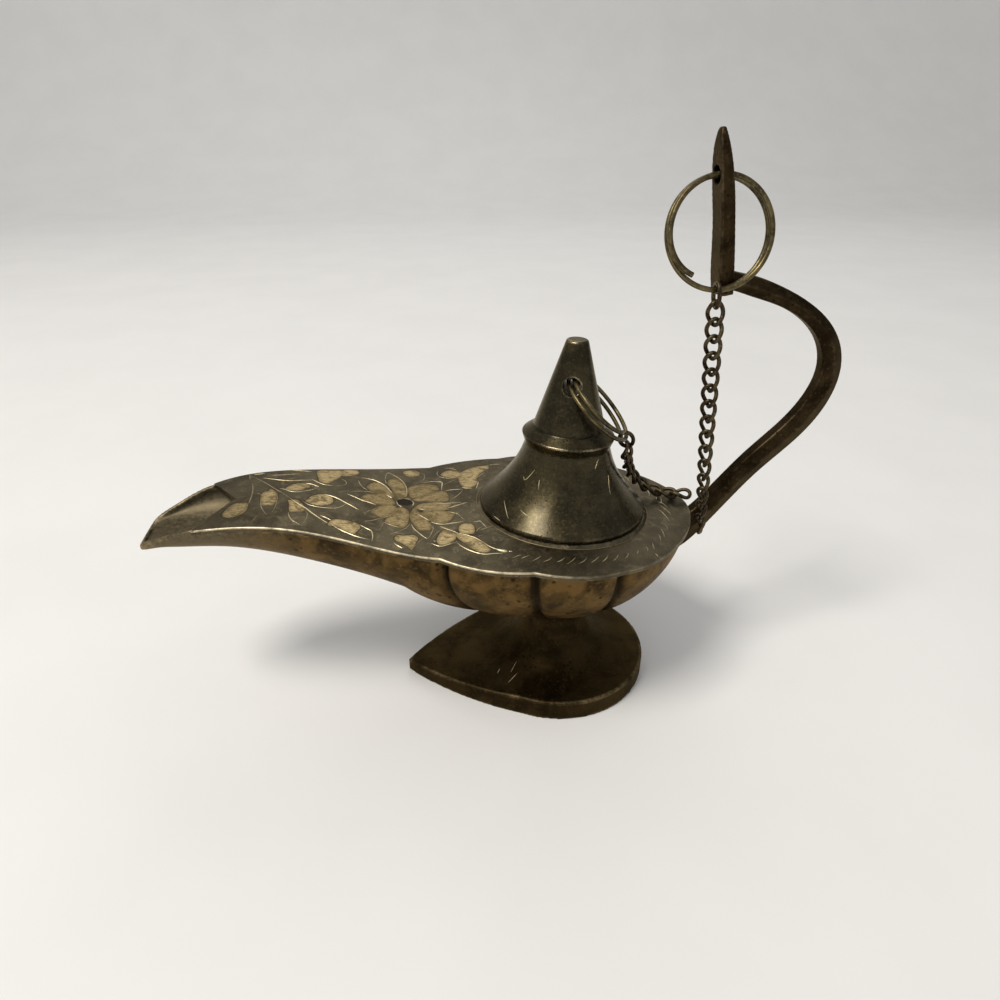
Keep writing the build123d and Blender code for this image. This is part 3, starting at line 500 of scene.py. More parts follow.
# Engraving: each stroke's width, brightness and points on the deck, then the rim's ticks
cutShape = {
    "step": 0.22, "lift": 0.012, "depth": 0.5, "bed": 0.02, "lipHeight": 0.12, "up": "Y", "across": "X",
    "widthGain": 0.75, "pointShare": 0.12, "cutTaper": 0.3, "tickWidth": 0.22, "tickShine": 0.62, "tickTaper": 0.4,
    "mirrorFrom": -8.0, "circle": 19.0, "circleSteps": 240, "circleWidth": 0.2, "circleShine": 0.12,
    "cuts": [
        (0.22, 0.5, [(-64.2, -1.6), (-63.7, -4.2), (-63.0, -6.1), (-62.3, -7.5), (-61.9, -7.9)]),
        (0.2, 0.4, [(-63.1, 3.3), (-61.7, 2.0), (-60.9, -0.5), (-60.8, -3.1), (-60.9, -5.6), (-61.2, -7.4)]),
        (0.26, 0.7, [(-58.0, -6.8), (-57.7, -8.4), (-57.0, -9.9), (-56.3, -10.6), (-55.3, -11.5)]),
        (0.2, 0.4, [(-55.0, -5.9), (-54.3, -7.1), (-54.3, -9.0), (-54.7, -10.8), (-55.0, -11.3)]),
        (0.34, 1.0, [(-55.8, 6.2), (-54.5, 5.8), (-53.0, 4.8)]),
        (0.28, 0.8, [(-60.9, 3.4), (-59.8, 2.9), (-58.5, 2.0), (-57.0, 1.9), (-55.7, 2.5), (-54.1, 3.4),
         (-53.0, 4.8)]),
        (0.4, 1.0, [(-51.7, 1.5), (-50.2, 1.0), (-48.7, 0.1), (-47.2, -1.3), (-45.7, -2.6), (-44.3, -3.9)]),
        (0.3, 0.8, [(-55.6, -2.2), (-54.3, -3.5), (-52.8, -4.1), (-51.4, -4.3), (-50.0, -4.3), (-48.7, -4.0),
         (-47.5, -2.8), (-47.0, -1.8)]),
        (0.3, 0.8, [(-51.8, -7.5), (-50.5, -8.3), (-49.5, -9.1)]),
        (0.36, 1.0, [(-43.8, -10.0), (-42.6, -11.0), (-41.6, -11.9), (-41.3, -13.7), (-41.4, -15.5)]),
        (0.34, 0.9, [(-49.2, -10.9), (-48.0, -12.0), (-46.8, -12.9), (-45.6, -13.6), (-44.5, -14.2), (-43.1, -14.7),
         (-41.8, -15.0)]),
        (0.3, 0.9, [(-54.8, 8.4), (-53.6, 7.2), (-52.2, 6.2), (-51.0, 6.0), (-50.0, 6.0)]),
        (0.22, 0.5, [(-48.7, 9.9), (-47.7, 8.9), (-47.4, 7.4), (-48.4, 6.4), (-49.7, 5.7)]),
        (0.26, 0.5, [(-67.8, 10.2), (-65.7, 7.9), (-63.7, 5.5), (-61.9, 3.2), (-60.0, 1.1), (-58.3, -1.1)]),
        (0.4, 1.0, [(-58.3, -1.1), (-56.7, -3.0), (-54.9, -4.9), (-53.4, -6.8), (-51.7, -8.7), (-50.0, -10.4)]),
        (0.32, 0.9, [(-65.3, 8.9), (-63.2, 8.1), (-61.0, 7.4), (-58.9, 7.2), (-56.8, 7.6), (-54.7, 8.0),
         (-53.7, 8.0)]),
        (0.3, 0.9, [(-67.5, 11.2), (-66.3, 11.2), (-65.2, 11.3)]),
        (0.26, 0.8, [(-63.5, 10.1), (-61.8, 10.1), (-59.7, 10.5), (-57.4, 10.9)]),
        (0.28, 0.9, [(-59.5, 12.8), (-57.3, 12.6), (-55.1, 12.4)]),
        (0.3, 0.4, [(-68.6, 11.8), (-67.9, 8.4)]),
        (0.3, 0.4, [(-67.2, 6.7), (-66.6, 4.1), (-66.3, 1.3), (-66.3, -1.4), (-66.4, -3.5)]),
        (0.2, 0.4, [(-65.8, 1.0), (-65.1, 1.3), (-64.4, 0.6)]),
        (0.18, 0.3, [(-64.5, -10.1), (-64.0, -8.6), (-63.6, -7.7)]),
        (0.44, 1.0, [(-44.3, 11.5), (-42.8, 11.3), (-41.2, 10.7), (-39.9, 9.7), (-38.7, 8.1), (-37.9, 6.2),
         (-37.2, 4.6)]),
        (0.28, 0.6, [(-44.9, 10.0), (-44.4, 8.0), (-43.7, 6.4), (-42.7, 5.4)]),
        (0.34, 0.9, [(-38.6, 3.8), (-37.4, 2.7)]),
        (0.24, 0.5, [(-46.8, 3.8), (-44.7, 4.4), (-42.6, 4.7), (-40.9, 4.3)]),
        (0.36, 0.9, [(-46.9, 2.6), (-45.0, 1.3), (-43.7, 0.3), (-42.5, -0.2), (-40.8, -1.1)]),
        (0.24, 0.5, [(-43.1, -6.2), (-42.8, -4.9), (-42.2, -4.0), (-41.4, -3.1)]),
        (0.28, 0.6, [(-43.1, -8.4), (-41.7, -7.9), (-40.3, -7.0), (-39.1, -6.3), (-37.9, -5.2), (-37.2, -4.0)]),
        (0.24, 0.5, [(-39.1, -7.8), (-39.7, -10.3), (-40.2, -11.8)]),
        (0.22, 0.5, [(-39.1, -8.2), (-37.7, -9.0), (-36.3, -9.6), (-35.1, -9.8)]),
        (0.26, 0.6, [(-38.7, -12.7), (-37.5, -12.2), (-35.9, -11.1), (-34.7, -9.8), (-33.9, -8.2)]),
        (0.38, 0.9, [(-33.6, -8.2), (-33.1, -9.9), (-32.1, -11.6), (-31.2, -12.9), (-30.5, -13.6)]),
        (0.24, 0.6, [(-29.2, -8.0), (-29.2, -10.0), (-29.7, -11.7), (-30.4, -13.6)]),
        (0.28, 0.6, [(-25.8, -2.6), (-24.5, -3.3), (-23.5, -3.9), (-22.8, -5.6), (-22.3, -6.5)]),
        (0.38, 1.0, [(-29.5, -7.2), (-28.2, -7.8), (-26.8, -8.0), (-25.1, -7.6), (-23.8, -7.3), (-22.5, -6.9)]),
        (0.32, 0.9, [(-32.1, -4.0), (-31.0, -5.2), (-29.8, -6.6)]),
        (0.32, 0.9, [(-28.6, 1.2), (-27.1, 1.0), (-25.3, 1.0), (-23.7, 1.2), (-22.2, 1.4)]),
        (0.5, 1.0, [(-25.5, -1.3), (-23.9, -0.3), (-22.3, 0.6), (-21.0, 1.3)]),
        (0.24, 0.7, [(-31.9, -1.6), (-30.7, -2.1), (-29.0, -2.2)]),
        (0.32, 0.9, [(-25.8, 6.9), (-24.4, 7.5), (-23.0, 7.7), (-21.4, 7.8)]),
        (0.24, 0.6, [(-24.8, 2.4), (-23.5, 3.9), (-22.2, 5.8), (-21.4, 7.5)]),
        (0.32, 0.9, [(-30.1, 11.3), (-28.7, 11.9), (-27.3, 12.0), (-26.0, 11.6), (-26.1, 9.5), (-26.3, 7.4)]),
        (0.3, 0.7, [(-39.0, 11.5), (-38.8, 14.1), (-38.3, 15.7), (-37.2, 14.8), (-35.8, 13.0), (-34.7, 10.7),
         (-34.2, 8.1), (-34.2, 5.0), (-34.5, 3.5)]),
        (0.24, 0.6, [(-39.0, 11.5), (-38.6, 9.4)]),
        (0.3, 1.0, [(-33.2, 2.0), (-32.8, 0.8), (-33.2, -0.6)]),
        (0.28, 0.8, [(-36.5, 1.2), (-36.1, -0.4), (-35.3, -1.2)]),
        (0.2, 0.5, [(-36.1, 2.1), (-34.6, 2.7), (-33.5, 2.3)]),
        (0.34, 0.9, [(-37.2, -15.5), (-36.6, -16.3), (-35.6, -17.1)]),
        (0.22, 0.6, [(-33.7, -17.5), (-32.9, -15.9), (-32.0, -14.3), (-31.2, -13.5)]),
        (0.36, 0.9, [(-29.8, -15.2), (-28.9, -15.9), (-27.8, -16.2), (-26.3, -15.5), (-24.9, -14.8)]),
        (0.22, 0.6, [(-29.4, -13.0), (-28.6, -11.5), (-27.8, -10.4)]),
        (0.24, 0.7, [(-29.4, -14.3), (-28.8, -14.5)]),
        (0.28, 0.8, [(-27.7, -8.8), (-26.5, -9.8), (-25.1, -10.8), (-24.0, -11.8)]),
        (0.3, 0.8, [(-24.0, -11.6), (-22.4, -12.4), (-20.9, -13.4), (-19.6, -14.9), (-18.4, -16.6), (-17.1, -17.7),
         (-15.6, -18.1), (-15.1, -18.6)]),
        (0.34, 0.9, [(-24.8, -14.5), (-24.2, -15.9), (-23.1, -17.2), (-22.0, -18.1), (-20.9, -18.8), (-19.5, -19.3),
         (-17.9, -19.2), (-16.3, -19.2), (-15.1, -18.9)]),
        (0.6, 1.0, [(-17.0, -17.9), (-16.0, -18.4), (-14.9, -18.7)]),
        (0.34, 0.8, [(-14.7, -18.7), (-14.0, -18.8)]),
        (0.3, 0.9, [(-20.7, -7.3), (-19.8, -7.2), (-19.1, -7.1), (-18.6, -8.3), (-18.0, -9.8)]),
        (0.24, 0.7, [(-20.4, -11.1), (-19.7, -10.0), (-19.0, -9.4)]),
        (0.22, 0.6, [(-19.8, -10.8), (-18.4, -10.0), (-17.3, -9.5), (-16.2, -9.0)]),
        (0.2, 0.5, [(-20.2, -13.0), (-19.1, -12.4)]),
        (0.24, 0.5, [(-30.8, 17.0), (-29.9, 15.9), (-29.9, 13.8), (-30.5, 12.1)]),
        (0.24, 0.6, [(-26.5, 18.2), (-26.8, 16.3), (-26.2, 14.8), (-24.8, 14.0), (-23.5, 13.4)]),
        (0.24, 0.6, [(-24.9, 19.7), (-23.2, 19.8), (-21.8, 18.5)]),
        (0.28, 0.7, [(-21.7, 8.9), (-20.4, 8.2), (-19.0, 8.2)]),
        (0.3, 0.8, [(-18.4, 7.7), (-17.8, 9.8), (-17.3, 12.0)]),
        (0.28, 0.7, [(-14.7, 20.9), (-12.6, 21.7), (-10.6, 21.9)]),
        (0.24, 0.6, [(-17.5, 13.7), (-16.3, 15.7), (-15.2, 17.1)]),
        (0.22, 0.5, [(-25.5, 10.3), (-24.3, 11.7), (-22.5, 13.1)]),
    ],
    "ticks": [
        [(-14.6, -21.1), (-13.3, -20.4), (-12.5, -20.0)],
        [(-12.7, -21.3), (-11.6, -20.7), (-10.7, -20.3)],
        [(-10.7, -22.3), (-9.5, -21.5), (-8.6, -20.8)],
        [(-8.6, -22.7), (-7.2, -22.0), (-6.4, -21.2)],
        [(-6.0, -23.0), (-4.9, -22.4), (-3.9, -21.5)],
        [(-4.2, -23.8), (-2.8, -22.7), (-1.7, -21.4)],
        [(-1.8, -23.7), (-0.4, -22.8), (0.6, -21.5)],
        [(0.9, -23.4), (2.2, -22.3), (3.1, -21.4)],
        [(3.1, -23.3), (4.3, -22.1), (5.0, -20.9)],
        [(5.5, -22.9), (6.6, -21.8), (7.3, -20.6)],
        [(8.2, -22.2), (9.0, -21.2), (9.5, -20.2)],
        [(11.1, -20.7), (11.6, -19.9), (11.8, -19.3)],
        [(13.9, -17.9), (14.0, -18.8), (13.6, -19.7)],
        [(15.8, -16.5), (15.5, -18.0), (15.4, -19.2)],
        [(15.0, -20.4), (15.4, -21.3)],
        [(18.2, -13.5), (18.1, -14.6), (17.7, -16.1)],
        [(19.4, -11.3), (19.4, -12.9), (19.1, -14.6)],
        [(20.9, -9.5), (21.0, -10.9), (20.8, -12.1)],
        [(21.5, -2.9), (22.1, -4.5), (22.4, -6.9), (22.4, -8.6)],
        [(22.6, -1.0), (23.2, -2.6), (23.7, -4.7), (23.7, -6.0)],
        [(22.6, 0.4), (23.6, -0.3), (24.2, -2.6)],
    ],
}
cutLook = {
    "dull": (0.22, 0.165, 0.08), "bright": (0.90, 0.76, 0.46), "grime": (0.05, 0.04, 0.025), "rough": (0.25, 0.45),
    "grain": 0.3, "smear": 1.8, "metal": 0.8,
}


def rimWidths(tree, columns, look):
    widths, inners = [], []
    coarse, fine, trim = look["coarse"] * mm, look["fine"] * mm, look["trim"] * mm
    for x in columns:
        outer = look["search"] * mm
        while outer > 0 and castDown(tree, x, outer) is None:
            outer -= coarse
        low, high = outer, outer + coarse
        for step in range(look["halvings"]):
            middle = (low + high) / 2
            low, high = (low, middle) if castDown(tree, x, middle) is None else (middle, high)
        widths.append(max(low - trim, trim))
        inner = 0.0
        if x < look["apex"] * mm:
            while inner < outer and castDown(tree, x, inner) is None:
                inner += fine
        inners.append(min(inner, widths[-1]))
    return np.array(widths), np.array(inners)


def closedDistance(points, outline):
    start, end = outline, np.roll(outline, -1, 0)
    run = end - start
    share = ((points[:, None] - start) * run).sum(2) / np.maximum((run * run).sum(1), 1e-12)
    near = start + np.clip(share, 0, 1)[..., None] * run
    away = np.sqrt(((points[:, None] - near) ** 2).sum(2)).min(1)
    x, y = points[:, :1], points[:, 1:]
    crossing = (start[:, 1] > y) != (end[:, 1] > y)
    rise = np.where(np.abs(run[:, 1]) < 1e-12, 1e-12, run[:, 1])
    inside = (crossing & (x < start[:, 0] + (y - start[:, 1]) * run[:, 0] / rise)).sum(1) % 2 == 1
    return np.where(inside, away, -away)


# The plate's top as a fine grid over the CAD deck, with a rounded rim
def deckGrid(look, tree, columns, widths, inners):
    lip = np.array(look["lipRows"]) * mm
    rows = look["rows"]
    points, faces, drops = [], [], []

    def topAt(x, y):
        hit = castDown(tree, x, y)
        return None if hit is None else hit.z

    hole, band, inset = look["hole"] * mm, look["holeBand"] * mm, look["inset"] * mm
    for side in (1, -1):
        start = len(points)
        last = look["level"] * mm
        for x, width, inner in zip(columns, widths, inners):
            room = width - inner
            offsets = lip * min(1.0, room / (2 * lip[0]))
            reach = [inner + (room - offsets[0]) * j / rows for j in range(rows)] + [width - off for off in offsets]
            last = topAt(x, side * (inner + width) / 2) or last
            for j, y in enumerate(reach):
                px, py = x, y
                around = math.hypot(px, py)
                if hole - band < around < hole:
                    px, py = px * hole / around, py * hole / around
                height = topAt(px, side * max(min(py, width - inset), inner + inset if inner else 0))
                if height is None and math.hypot(px, py) < hole + look["holeNear"] * mm:
                    grown = (hole + look["holeStep"] * mm) / max(math.hypot(px, py), 1e-9)
                    height = topAt(px * grown, side * py * grown) or last
                last = height if height is not None else last
                off = width - y
                radius = look["lip"] * mm
                drop = radius - math.sqrt(max(radius**2 - (radius - off) ** 2, 0)) if off < radius else 0.0
                points.append((px, side * py, last - drop))
                drops.append(drop)
        stride = rows + len(lip)
        for k in range(len(columns) - 1):
            for j in range(stride - 1):
                a, b = start + k * stride + j, start + (k + 1) * stride + j
                quad = (a, b, b + 1, a + 1) if side > 0 else (a, a + 1, b + 1, b)
                middle = [sum(points[v][i] for v in quad) / 4 for i in (0, 1)]
                if math.hypot(*middle) > hole - look["holeSlack"] * mm:
                    faces.append(quad)
    return points, faces, drops


# The grid is copied down by the plate's thickness and closed along its border
def closePlate(piece, look, drops):
    shell = bmesh.new()
    shell.from_mesh(piece.data)
    shell.verts.ensure_lookup_table()
    under = shell.verts.layers.float.new("under")
    for vert, drop in zip(shell.verts, drops):
        vert[under] = look["plate"] * mm - drop
    bmesh.ops.remove_doubles(shell, verts=shell.verts, dist=look["weld"] * mm)
    bmesh.ops.delete(shell, geom=[v for v in shell.verts if not v.link_faces], context="VERTS")
    border = [edge for edge in shell.edges if edge.is_boundary]
    copied = bmesh.ops.duplicate(shell, geom=shell.verts[:] + shell.edges[:] + shell.faces[:])
    twin = copied["vert_map"]
    bmesh.ops.reverse_faces(shell, faces=[g for g in copied["geom"] if isinstance(g, bmesh.types.BMFace)])
    for vert in [g for g in copied["geom"] if isinstance(g, bmesh.types.BMVert)]:
        vert.co.z -= vert[under]
        vert[under] = -1.0
    for edge in border:
        a, b = edge.verts
        loop = edge.link_loops[0]
        first, second = (a, b) if loop.vert == a else (b, a)
        shell.faces.new((second, first, twin[first], twin[second]))
    bmesh.ops.recalc_face_normals(shell, faces=shell.faces)
    shell.to_mesh(piece.data)
    shell.free()


# Petals and the eye are sunk a little, and the finish gets its marks
def markDeck(mesh, look, columns, widths):
    places = pointsOf(mesh)
    flat = places[:, :2] / mm
    under = np.zeros(len(places))
    mesh.attributes["under"].data.foreach_get("value", under)
    top = under > 0
    fill = np.full(len(places), -1.0)
    shade = np.full(len(places), 0.5)
    for petal, value in zip(look["petals"], look["shades"]):
        outline = petalLine(petal, look["petalStep"], look["corner"])
        low, high = outline.min(0) - look["margin"], outline.max(0) + look["margin"]
        near = np.where(top & (flat >= low).all(1) & (flat <= high).all(1))[0]
        away = closedDistance(flat[near], outline)
        better = away > fill[near]
        fill[near[better]] = away[better]
        shade[near[better & (away > -look["petalReach"])]] = value
    eye = (flat - np.array(look["eye"])) / np.array(look["eyeSize"])
    eye = (1 - np.sqrt((eye**2).sum(1))) * look["eyeSize"][0]
    eye[~top] = -1.0
    edge = np.concatenate([np.stack([columns, widths], 1), np.stack([columns, -widths], 1)[::-1]]) / mm
    rim = np.abs(np.concatenate([closedDistance(part, edge) for part in np.array_split(flat, look["shares"])]))
    sink = np.clip((fill + look["bevel"]) / (2 * look["bevel"]), 0, 1)
    sunk = look["recess"] * mm * sink * sink * (3 - 2 * sink) * np.clip(rim - look["rimKeep"], 0, 1) * top
    sunk = sunk + look["recess"] * look["eyeGain"] * mm * np.clip((eye + 0.1) / 0.3, 0, 1)
    places[:, 2] -= sunk
    movePoints(mesh, places)
    for name, values in (("fill", fill), ("shade", shade), ("eye", eye), ("rim", np.where(top, rim, look["far"]))):
        setMark(mesh, name, values)
    mesh.attributes.remove(mesh.attributes["under"])
    mesh.shade_smooth()
    mesh.set_sharp_from_angle(angle=math.radians(look["sharp"]))


def makeDeck(look):
    tree = surfaceTree(frame["nodes"]["deck"].data)
    lowest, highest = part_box("deck")
    body = np.arange(lowest.x + look["frontGap"] * mm, highest.x - look["rearRun"] * mm, look["column"] * mm)
    turns = np.linspace(0, math.pi / 2, look["rearSteps"])[1:]
    rear = body[-1] + (highest.x - look["rearGap"] * mm - body[-1]) * np.sin(turns)
    columns = np.concatenate([body, rear])
    widths, inners = rimWidths(tree, columns, look)
    points, faces, drops = deckGrid(look, tree, columns, widths, inners)
    piece = meshPiece("deckPlate", points, faces)
    closePlate(piece, look, drops)
    markDeck(piece.data, look, columns, widths)
    return piece, tree


def deckFinish(look):
    material, tree, shader, coords = startMaterial("deckBronze")
    cloud = cloudNoise(coords, look["cloud"], 4.0, 0.6, 0.4)
    grain = cloudNoise(coords, look["grain"], 4.0, 0.65)
    stipple = cloudNoise(coords, look["stipple"], 3.0, 0.7)
    smear = cloudNoise(coords, look["smear"], 4.0, 0.6, 0.6)
    specks = spread(spotNoise(coords, look["speck"]), 0.1, 0.26, 0.75, 0.0)
    stretch = {"Vector": coords, "Rotation": (0, 0, look["streakTurn"]), "Scale": look["streakScale"]}
    streak = cloudNoise(outOf(tree, "ShaderNodeMapping", stretch), look["streak"], 4.0, 0.7, 0.2)
    along = outOf(tree, "ShaderNodeSeparateXYZ", {0: coords})
    rearRun, rimRun = ([x * mm for x in look[run]] for run in ("rearRun", "rimRun"))
    fill = readMark(tree, "fill")
    petal = layered(
        look["petalDark"],
        (spread(stipple, 0.34, 0.66), look["petalLight"]),
        (times(readMark(tree, "shade"), look["petalShine"]), look["petalBright"]),
        (spread(streak, 0.46, 0.64, 0.0, 0.7), look["petalDark"]),
        (spread(smear, 0.5, 0.64, 0.0, 0.7), look["petalDark"]),
        (spread(grain, 0.56, 0.7, 0.0, 0.6), look["dark"]),
        # The petals darken towards their borders as painted shade of the sunk edge
        (spread(fill, 0.0, 0.9, 0.5, 0.0), look["petalDark"]),
    )
    # A dark line ringing each petal is painted shade at its sunk border
    outline = times(spread(fill, -0.32, -0.1), spread(fill, 0.1, -0.06), look["outline"])
    # The bright line along the rim is partly wear and partly a painted highlight, strongest towards the beak
    rim = times(
        spread(readMark(tree, "rim"), 0.40, 0.10), spread(smear, 0.32, 0.6, 0.35, 1.0),
        spread(cloud, 0.35, 0.6, 0.45, 1.0), spread(along, *rimRun, 1.0, 0.2),
    )
    colour = layered(
        look["dark"],
        (spread(cloud, 0.34, 0.66), look["mid"]),
        (spread(smear, 0.5, 0.72, 0.0, 0.55), look["light"]),
        (spread(grain, 0.5, 0.78, 0.0, 0.5), look["light"]),
        (spread(along, *rearRun, 0.0, 0.2), look["rear"]),
        (times(specks, spread(smear, 0.5, 0.62)), look["grime"]),
        (spread(fill, -0.09, 0.07), petal),
        (outline, look["grime"]),
        (spread(readMark(tree, "eye"), -0.1, 0.1), look["grime"]),
        (rim, look["worn"]),
    )
    height = combine("ADD", grain, times(stipple, 0.5))
    relief = {"Strength": look["bump"], "Distance": look["relief"] * mm, "Height": height}
    feedAll(shader, {
        "Base Color": colour, "Roughness": spread(grain, 0.3, 0.7, *look["rough"]),
        "Normal": outOf(tree, "ShaderNodeBump", relief), "Metallic": look["metal"], "Specular Tint": tone(look["tint"]),
    })
    return material


deckPiece, deckTop = makeDeck(deckShape)
deckBronze = deckFinish(deckLook)
dress(deckPiece, "lamp", "deck_brass", deckBronze, "deck")
print("deck made:", len(deckPiece.data.polygons), "faces")


# Engraved lines: every stroke is a path on the deck, and the tree gives it a shallow V section
def cutFinish(look):
    material, tree, shader, coords = startMaterial("cutBrass")
    grain = cloudNoise(coords, look["grain"], 3.0, 0.65)
    smear = cloudNoise(coords, look["smear"], 3.0, 0.6)
    shine = times(readMark(tree, "shine"), spread(smear, 0.3, 0.62, 0.55, 1.0))
    bright, grime = spread(shine, 0.15, 0.95), spread(grain, 0.56, 0.74, 0.0, 0.5)
    colour = layered(look["dull"], (bright, look["bright"]), (grime, look["grime"]))
    rough = spread(grain, 0.3, 0.7, *look["rough"])
    feedAll(shader, {"Base Color": colour, "Roughness": rough, "Metallic": look["metal"]})
    return material


def sweepLine(tree, line, section):
    width = outOf(tree, "GeometryNodeInputNamedAttribute", {"Name": "halfWidth"}, data_type="FLOAT")
    values = {"Curve": line, "Profile Curve": section, "Scale": width, "Fill Caps": True}
    return outOf(tree, "GeometryNodeCurveToMesh", values)


def cutTree(look):
    kinds = {"Groove Depth": "Float", "Lip Height": "Float", "Finish": "Material"}
    tree, inputs = startTree("engravedLines", kinds)
    line = outOf(tree, "GeometryNodeMeshToCurve", {"Mesh": inputs["Geometry"]})
    line = outOf(tree, "GeometryNodeSetCurveNormal", {"Curve": line}, mode="Z_UP")
    depth = times(inputs["Groove Depth"], -1.0)
    corners = []
    lip = inputs["Lip Height"]
    for across, height in ((-1.0, lip), (0.0, look["bed"]), (1.0, lip), (0.0, depth)):
        corners.append(outOf(tree, "ShaderNodeCombineXYZ", {look["up"]: height, look["across"]: across}))
    section = addNode(tree, "GeometryNodeCurvePrimitiveQuadrilateral", mode="POINTS")
    for k, corner in enumerate(corners):
        feed(section.inputs["Point " + str(k + 1)], corner)
    solid = sweepLine(tree, line, section.outputs[0])
    flat = outOf(tree, "GeometryNodeSetShadeSmooth", {"Geometry": solid, "Shade Smooth": False})
    endTree(tree, flat, inputs["Finish"])
    return tree


# A piece of thin lines, from (points, half widths, brightness) of each
def growPaths(name, paths, maker, values):
    points, edges, widths, shines = [], [], [], []
    for line, spans, shine in paths:
        edges += [(len(points) + k, len(points) + k + 1) for k in range(len(line) - 1)]
        points += line
        widths += spans
        shines += [shine] * len(line)
    piece = meshPiece(name, points, [], edges)
    setMark(piece.data, "halfWidth", widths)
    setMark(piece.data, "shine", shines)
    return growTree(piece, maker, values)


def makeCuts(look, tree, finish):
    paths = []

    def addPath(line, width, shine, taper):
        hits = [castDown(tree, x * mm, y * mm) for x, y in line]
        if any(hit is None for hit in hits):
            return
        last = len(line) - 1
        points = [(x * mm, y * mm, hit.z + look["lift"] * mm) for (x, y), hit in zip(line, hits)]
        ends = [min(k, last - k) / last for k in range(len(line))]
        shares = [min(1.0, look["pointShare"] + end / taper) if taper else 1.0 for end in ends]
        paths.append((points, [width / 2 * mm * share for share in shares], shine))

    for width, shine, stops in look["cuts"]:
        addPath(smoothLine(stops, look["step"]), width * look["widthGain"], shine, look["cutTaper"])
    for stops in look["ticks"]:
        mirrored = [[(x, -y) for x, y in stops]] if stops[0][0] > look["mirrorFrom"] else []
        for tick in [stops] + mirrored:
            addPath(smoothLine(tick, look["step"]), look["tickWidth"], look["tickShine"], look["tickTaper"])
    around = np.linspace(0, 2 * math.pi, look["circleSteps"])
    circle = [(look["circle"] * math.cos(t), look["circle"] * math.sin(t)) for t in around]
    addPath(circle, look["circleWidth"], look["circleShine"], 0)
    values = {"Groove Depth": look["depth"], "Lip Height": look["lipHeight"], "Finish": finish}
    piece = growPaths("engravedLines", paths, cutTree(look), values)
    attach(piece, "lamp")
    return piece


cutBrass = cutFinish(cutLook)
cutPiece = makeCuts(cutShape, deckTop, cutBrass)
print("engraving made:", len(cutPiece.data.polygons), "faces")

# Bowl
bowlShape = {
    "voxel": 0.37, "rounds": 5, "keep": 0.68, "limit": 0.7, "grooves": [(7.0, 26.2), (-10.8, 26.0), (-28.5, 20.5)],
    "start": 4.0, "depth": 0.75, "width": 0.8, "inkWidth": 1.15, "fadeLow": 22.5, "fadeHigh": 25.5,
}
bowlLook = {
    "dark": (0.036, 0.023, 0.010), "mid": (0.145, 0.086, 0.030), "light": (0.25, 0.17, 0.075),
    "worn": (0.55, 0.42, 0.22), "grime": (0.010, 0.007, 0.004), "cloud": 6.5, "grain": 0.8, "glint": 0.5,
    "pit": 1.7, "pitShare": 0.95, "rough": (0.38, 0.58), "bump": 0.18, "metal": 1.0, "edges": 0.5,
    "grimeShare": 1.0, "tint": (0.9, 0.82, 0.7), "beak": ((0.098, 0.079, 0.048), (0.155, 0.126, 0.077)),
    "beakRun": (-50.0, -76.0), "beakPits": 0.25,
}


# Lobes meet in grooves that run out from the filler hole's middle and down the bowl
def grooveShares(piece, look, width):
    places, normals = pointsOf(piece.data) / mm, normalsOf(piece.data)
    share = np.zeros(len(places))
    for x, y in look["grooves"]:
        for side in (1, -1):
            way = np.array([x, side * y]) / math.hypot(x, y)
            ahead = places[:, :2] @ way
            off = places[:, 0] * way[1] - places[:, 1] * way[0]
            share = np.maximum(share, np.exp(-((off / width) ** 2)) * (ahead > look["start"]))
    radial = places[:, :2] / np.maximum(np.linalg.norm(places[:, :2], axis=1), 1e-6)[:, None]
    outside = np.clip(((normals[:, :2] * radial).sum(1) - 0.5 * normals[:, 2]) * 2, 0, 1)
    fade = np.clip((places[:, 2] - look["fadeLow"]) / (look["fadeHigh"] - look["fadeLow"]), 0, 1)
    return share * outside * fade, normals


def carveLobes(piece, look):
    share, normals = grooveShares(piece, look, look["width"])
    movePoints(piece.data, pointsOf(piece.data) - normals * (share * look["depth"] * mm)[:, None])
    piece.modifiers.new("slimmer", "DECIMATE").ratio = look["keep"]
    freeze(piece)


# The grooves get a band of painted shade, wider than the carved groove, added to the grime mark
def shadeGrooves(piece, look):
    share = grooveShares(piece, look, look["inkWidth"])[0]
    grime = np.zeros(len(piece.data.vertices))
    piece.data.attributes["grime"].data.foreach_get("value", grime)
    setMark(piece.data, "grime", np.maximum(grime, share))


bowlBronze = agedBrass("bowlBronze", bowlLook)
bowlPiece = makeCasting("bowl", "bowlShell", "lamp", "bowl_brass", bowlBronze, bowlShape, carveLobes)
shadeGrooves(bowlPiece, bowlShape)
print("bowl made:", len(bowlPiece.data.polygons), "faces")

# Foot
footShape = {"voxel": 0.42, "rounds": 4, "limit": 0.6, "tipStart": -12.0, "tipEnd": -37.0, "tipDrop": 0.36}
footLook = {
    "dark": (0.017, 0.0108, 0.0042), "mid": (0.042, 0.0270, 0.0105), "light": (0.11, 0.075, 0.03),
    "worn": (0.34, 0.26, 0.14), "grime": (0.006, 0.004, 0.003), "cloud": 8.0, "grain": 0.7, "glint": 0.4,
    "pit": 1.3, "pitShare": 0.6, "rough": (0.44, 0.62), "bump": 0.25, "metal": 1.0, "edges": 0.45,
    "grimeShare": 0.8, "tint": (0.8, 0.74, 0.62),
}


# The plate gets thinner to its point
def thinTip(piece, look):
    places = pointsOf(piece.data)
    share = np.clip((look["tipStart"] - places[:, 0] / mm) / (look["tipStart"] - look["tipEnd"]), 0, 1)
    places[:, 2] = np.maximum(places[:, 2] * (1 - look["tipDrop"] * share), 0)
    movePoints(piece.data, places)


footBronze = agedBrass("footBronze", footLook)
footPiece = makeCasting("foot", "footCasting", "lamp", "foot_brass", footBronze, footShape, thinTip)
print("foot made:", len(footPiece.data.polygons), "faces")

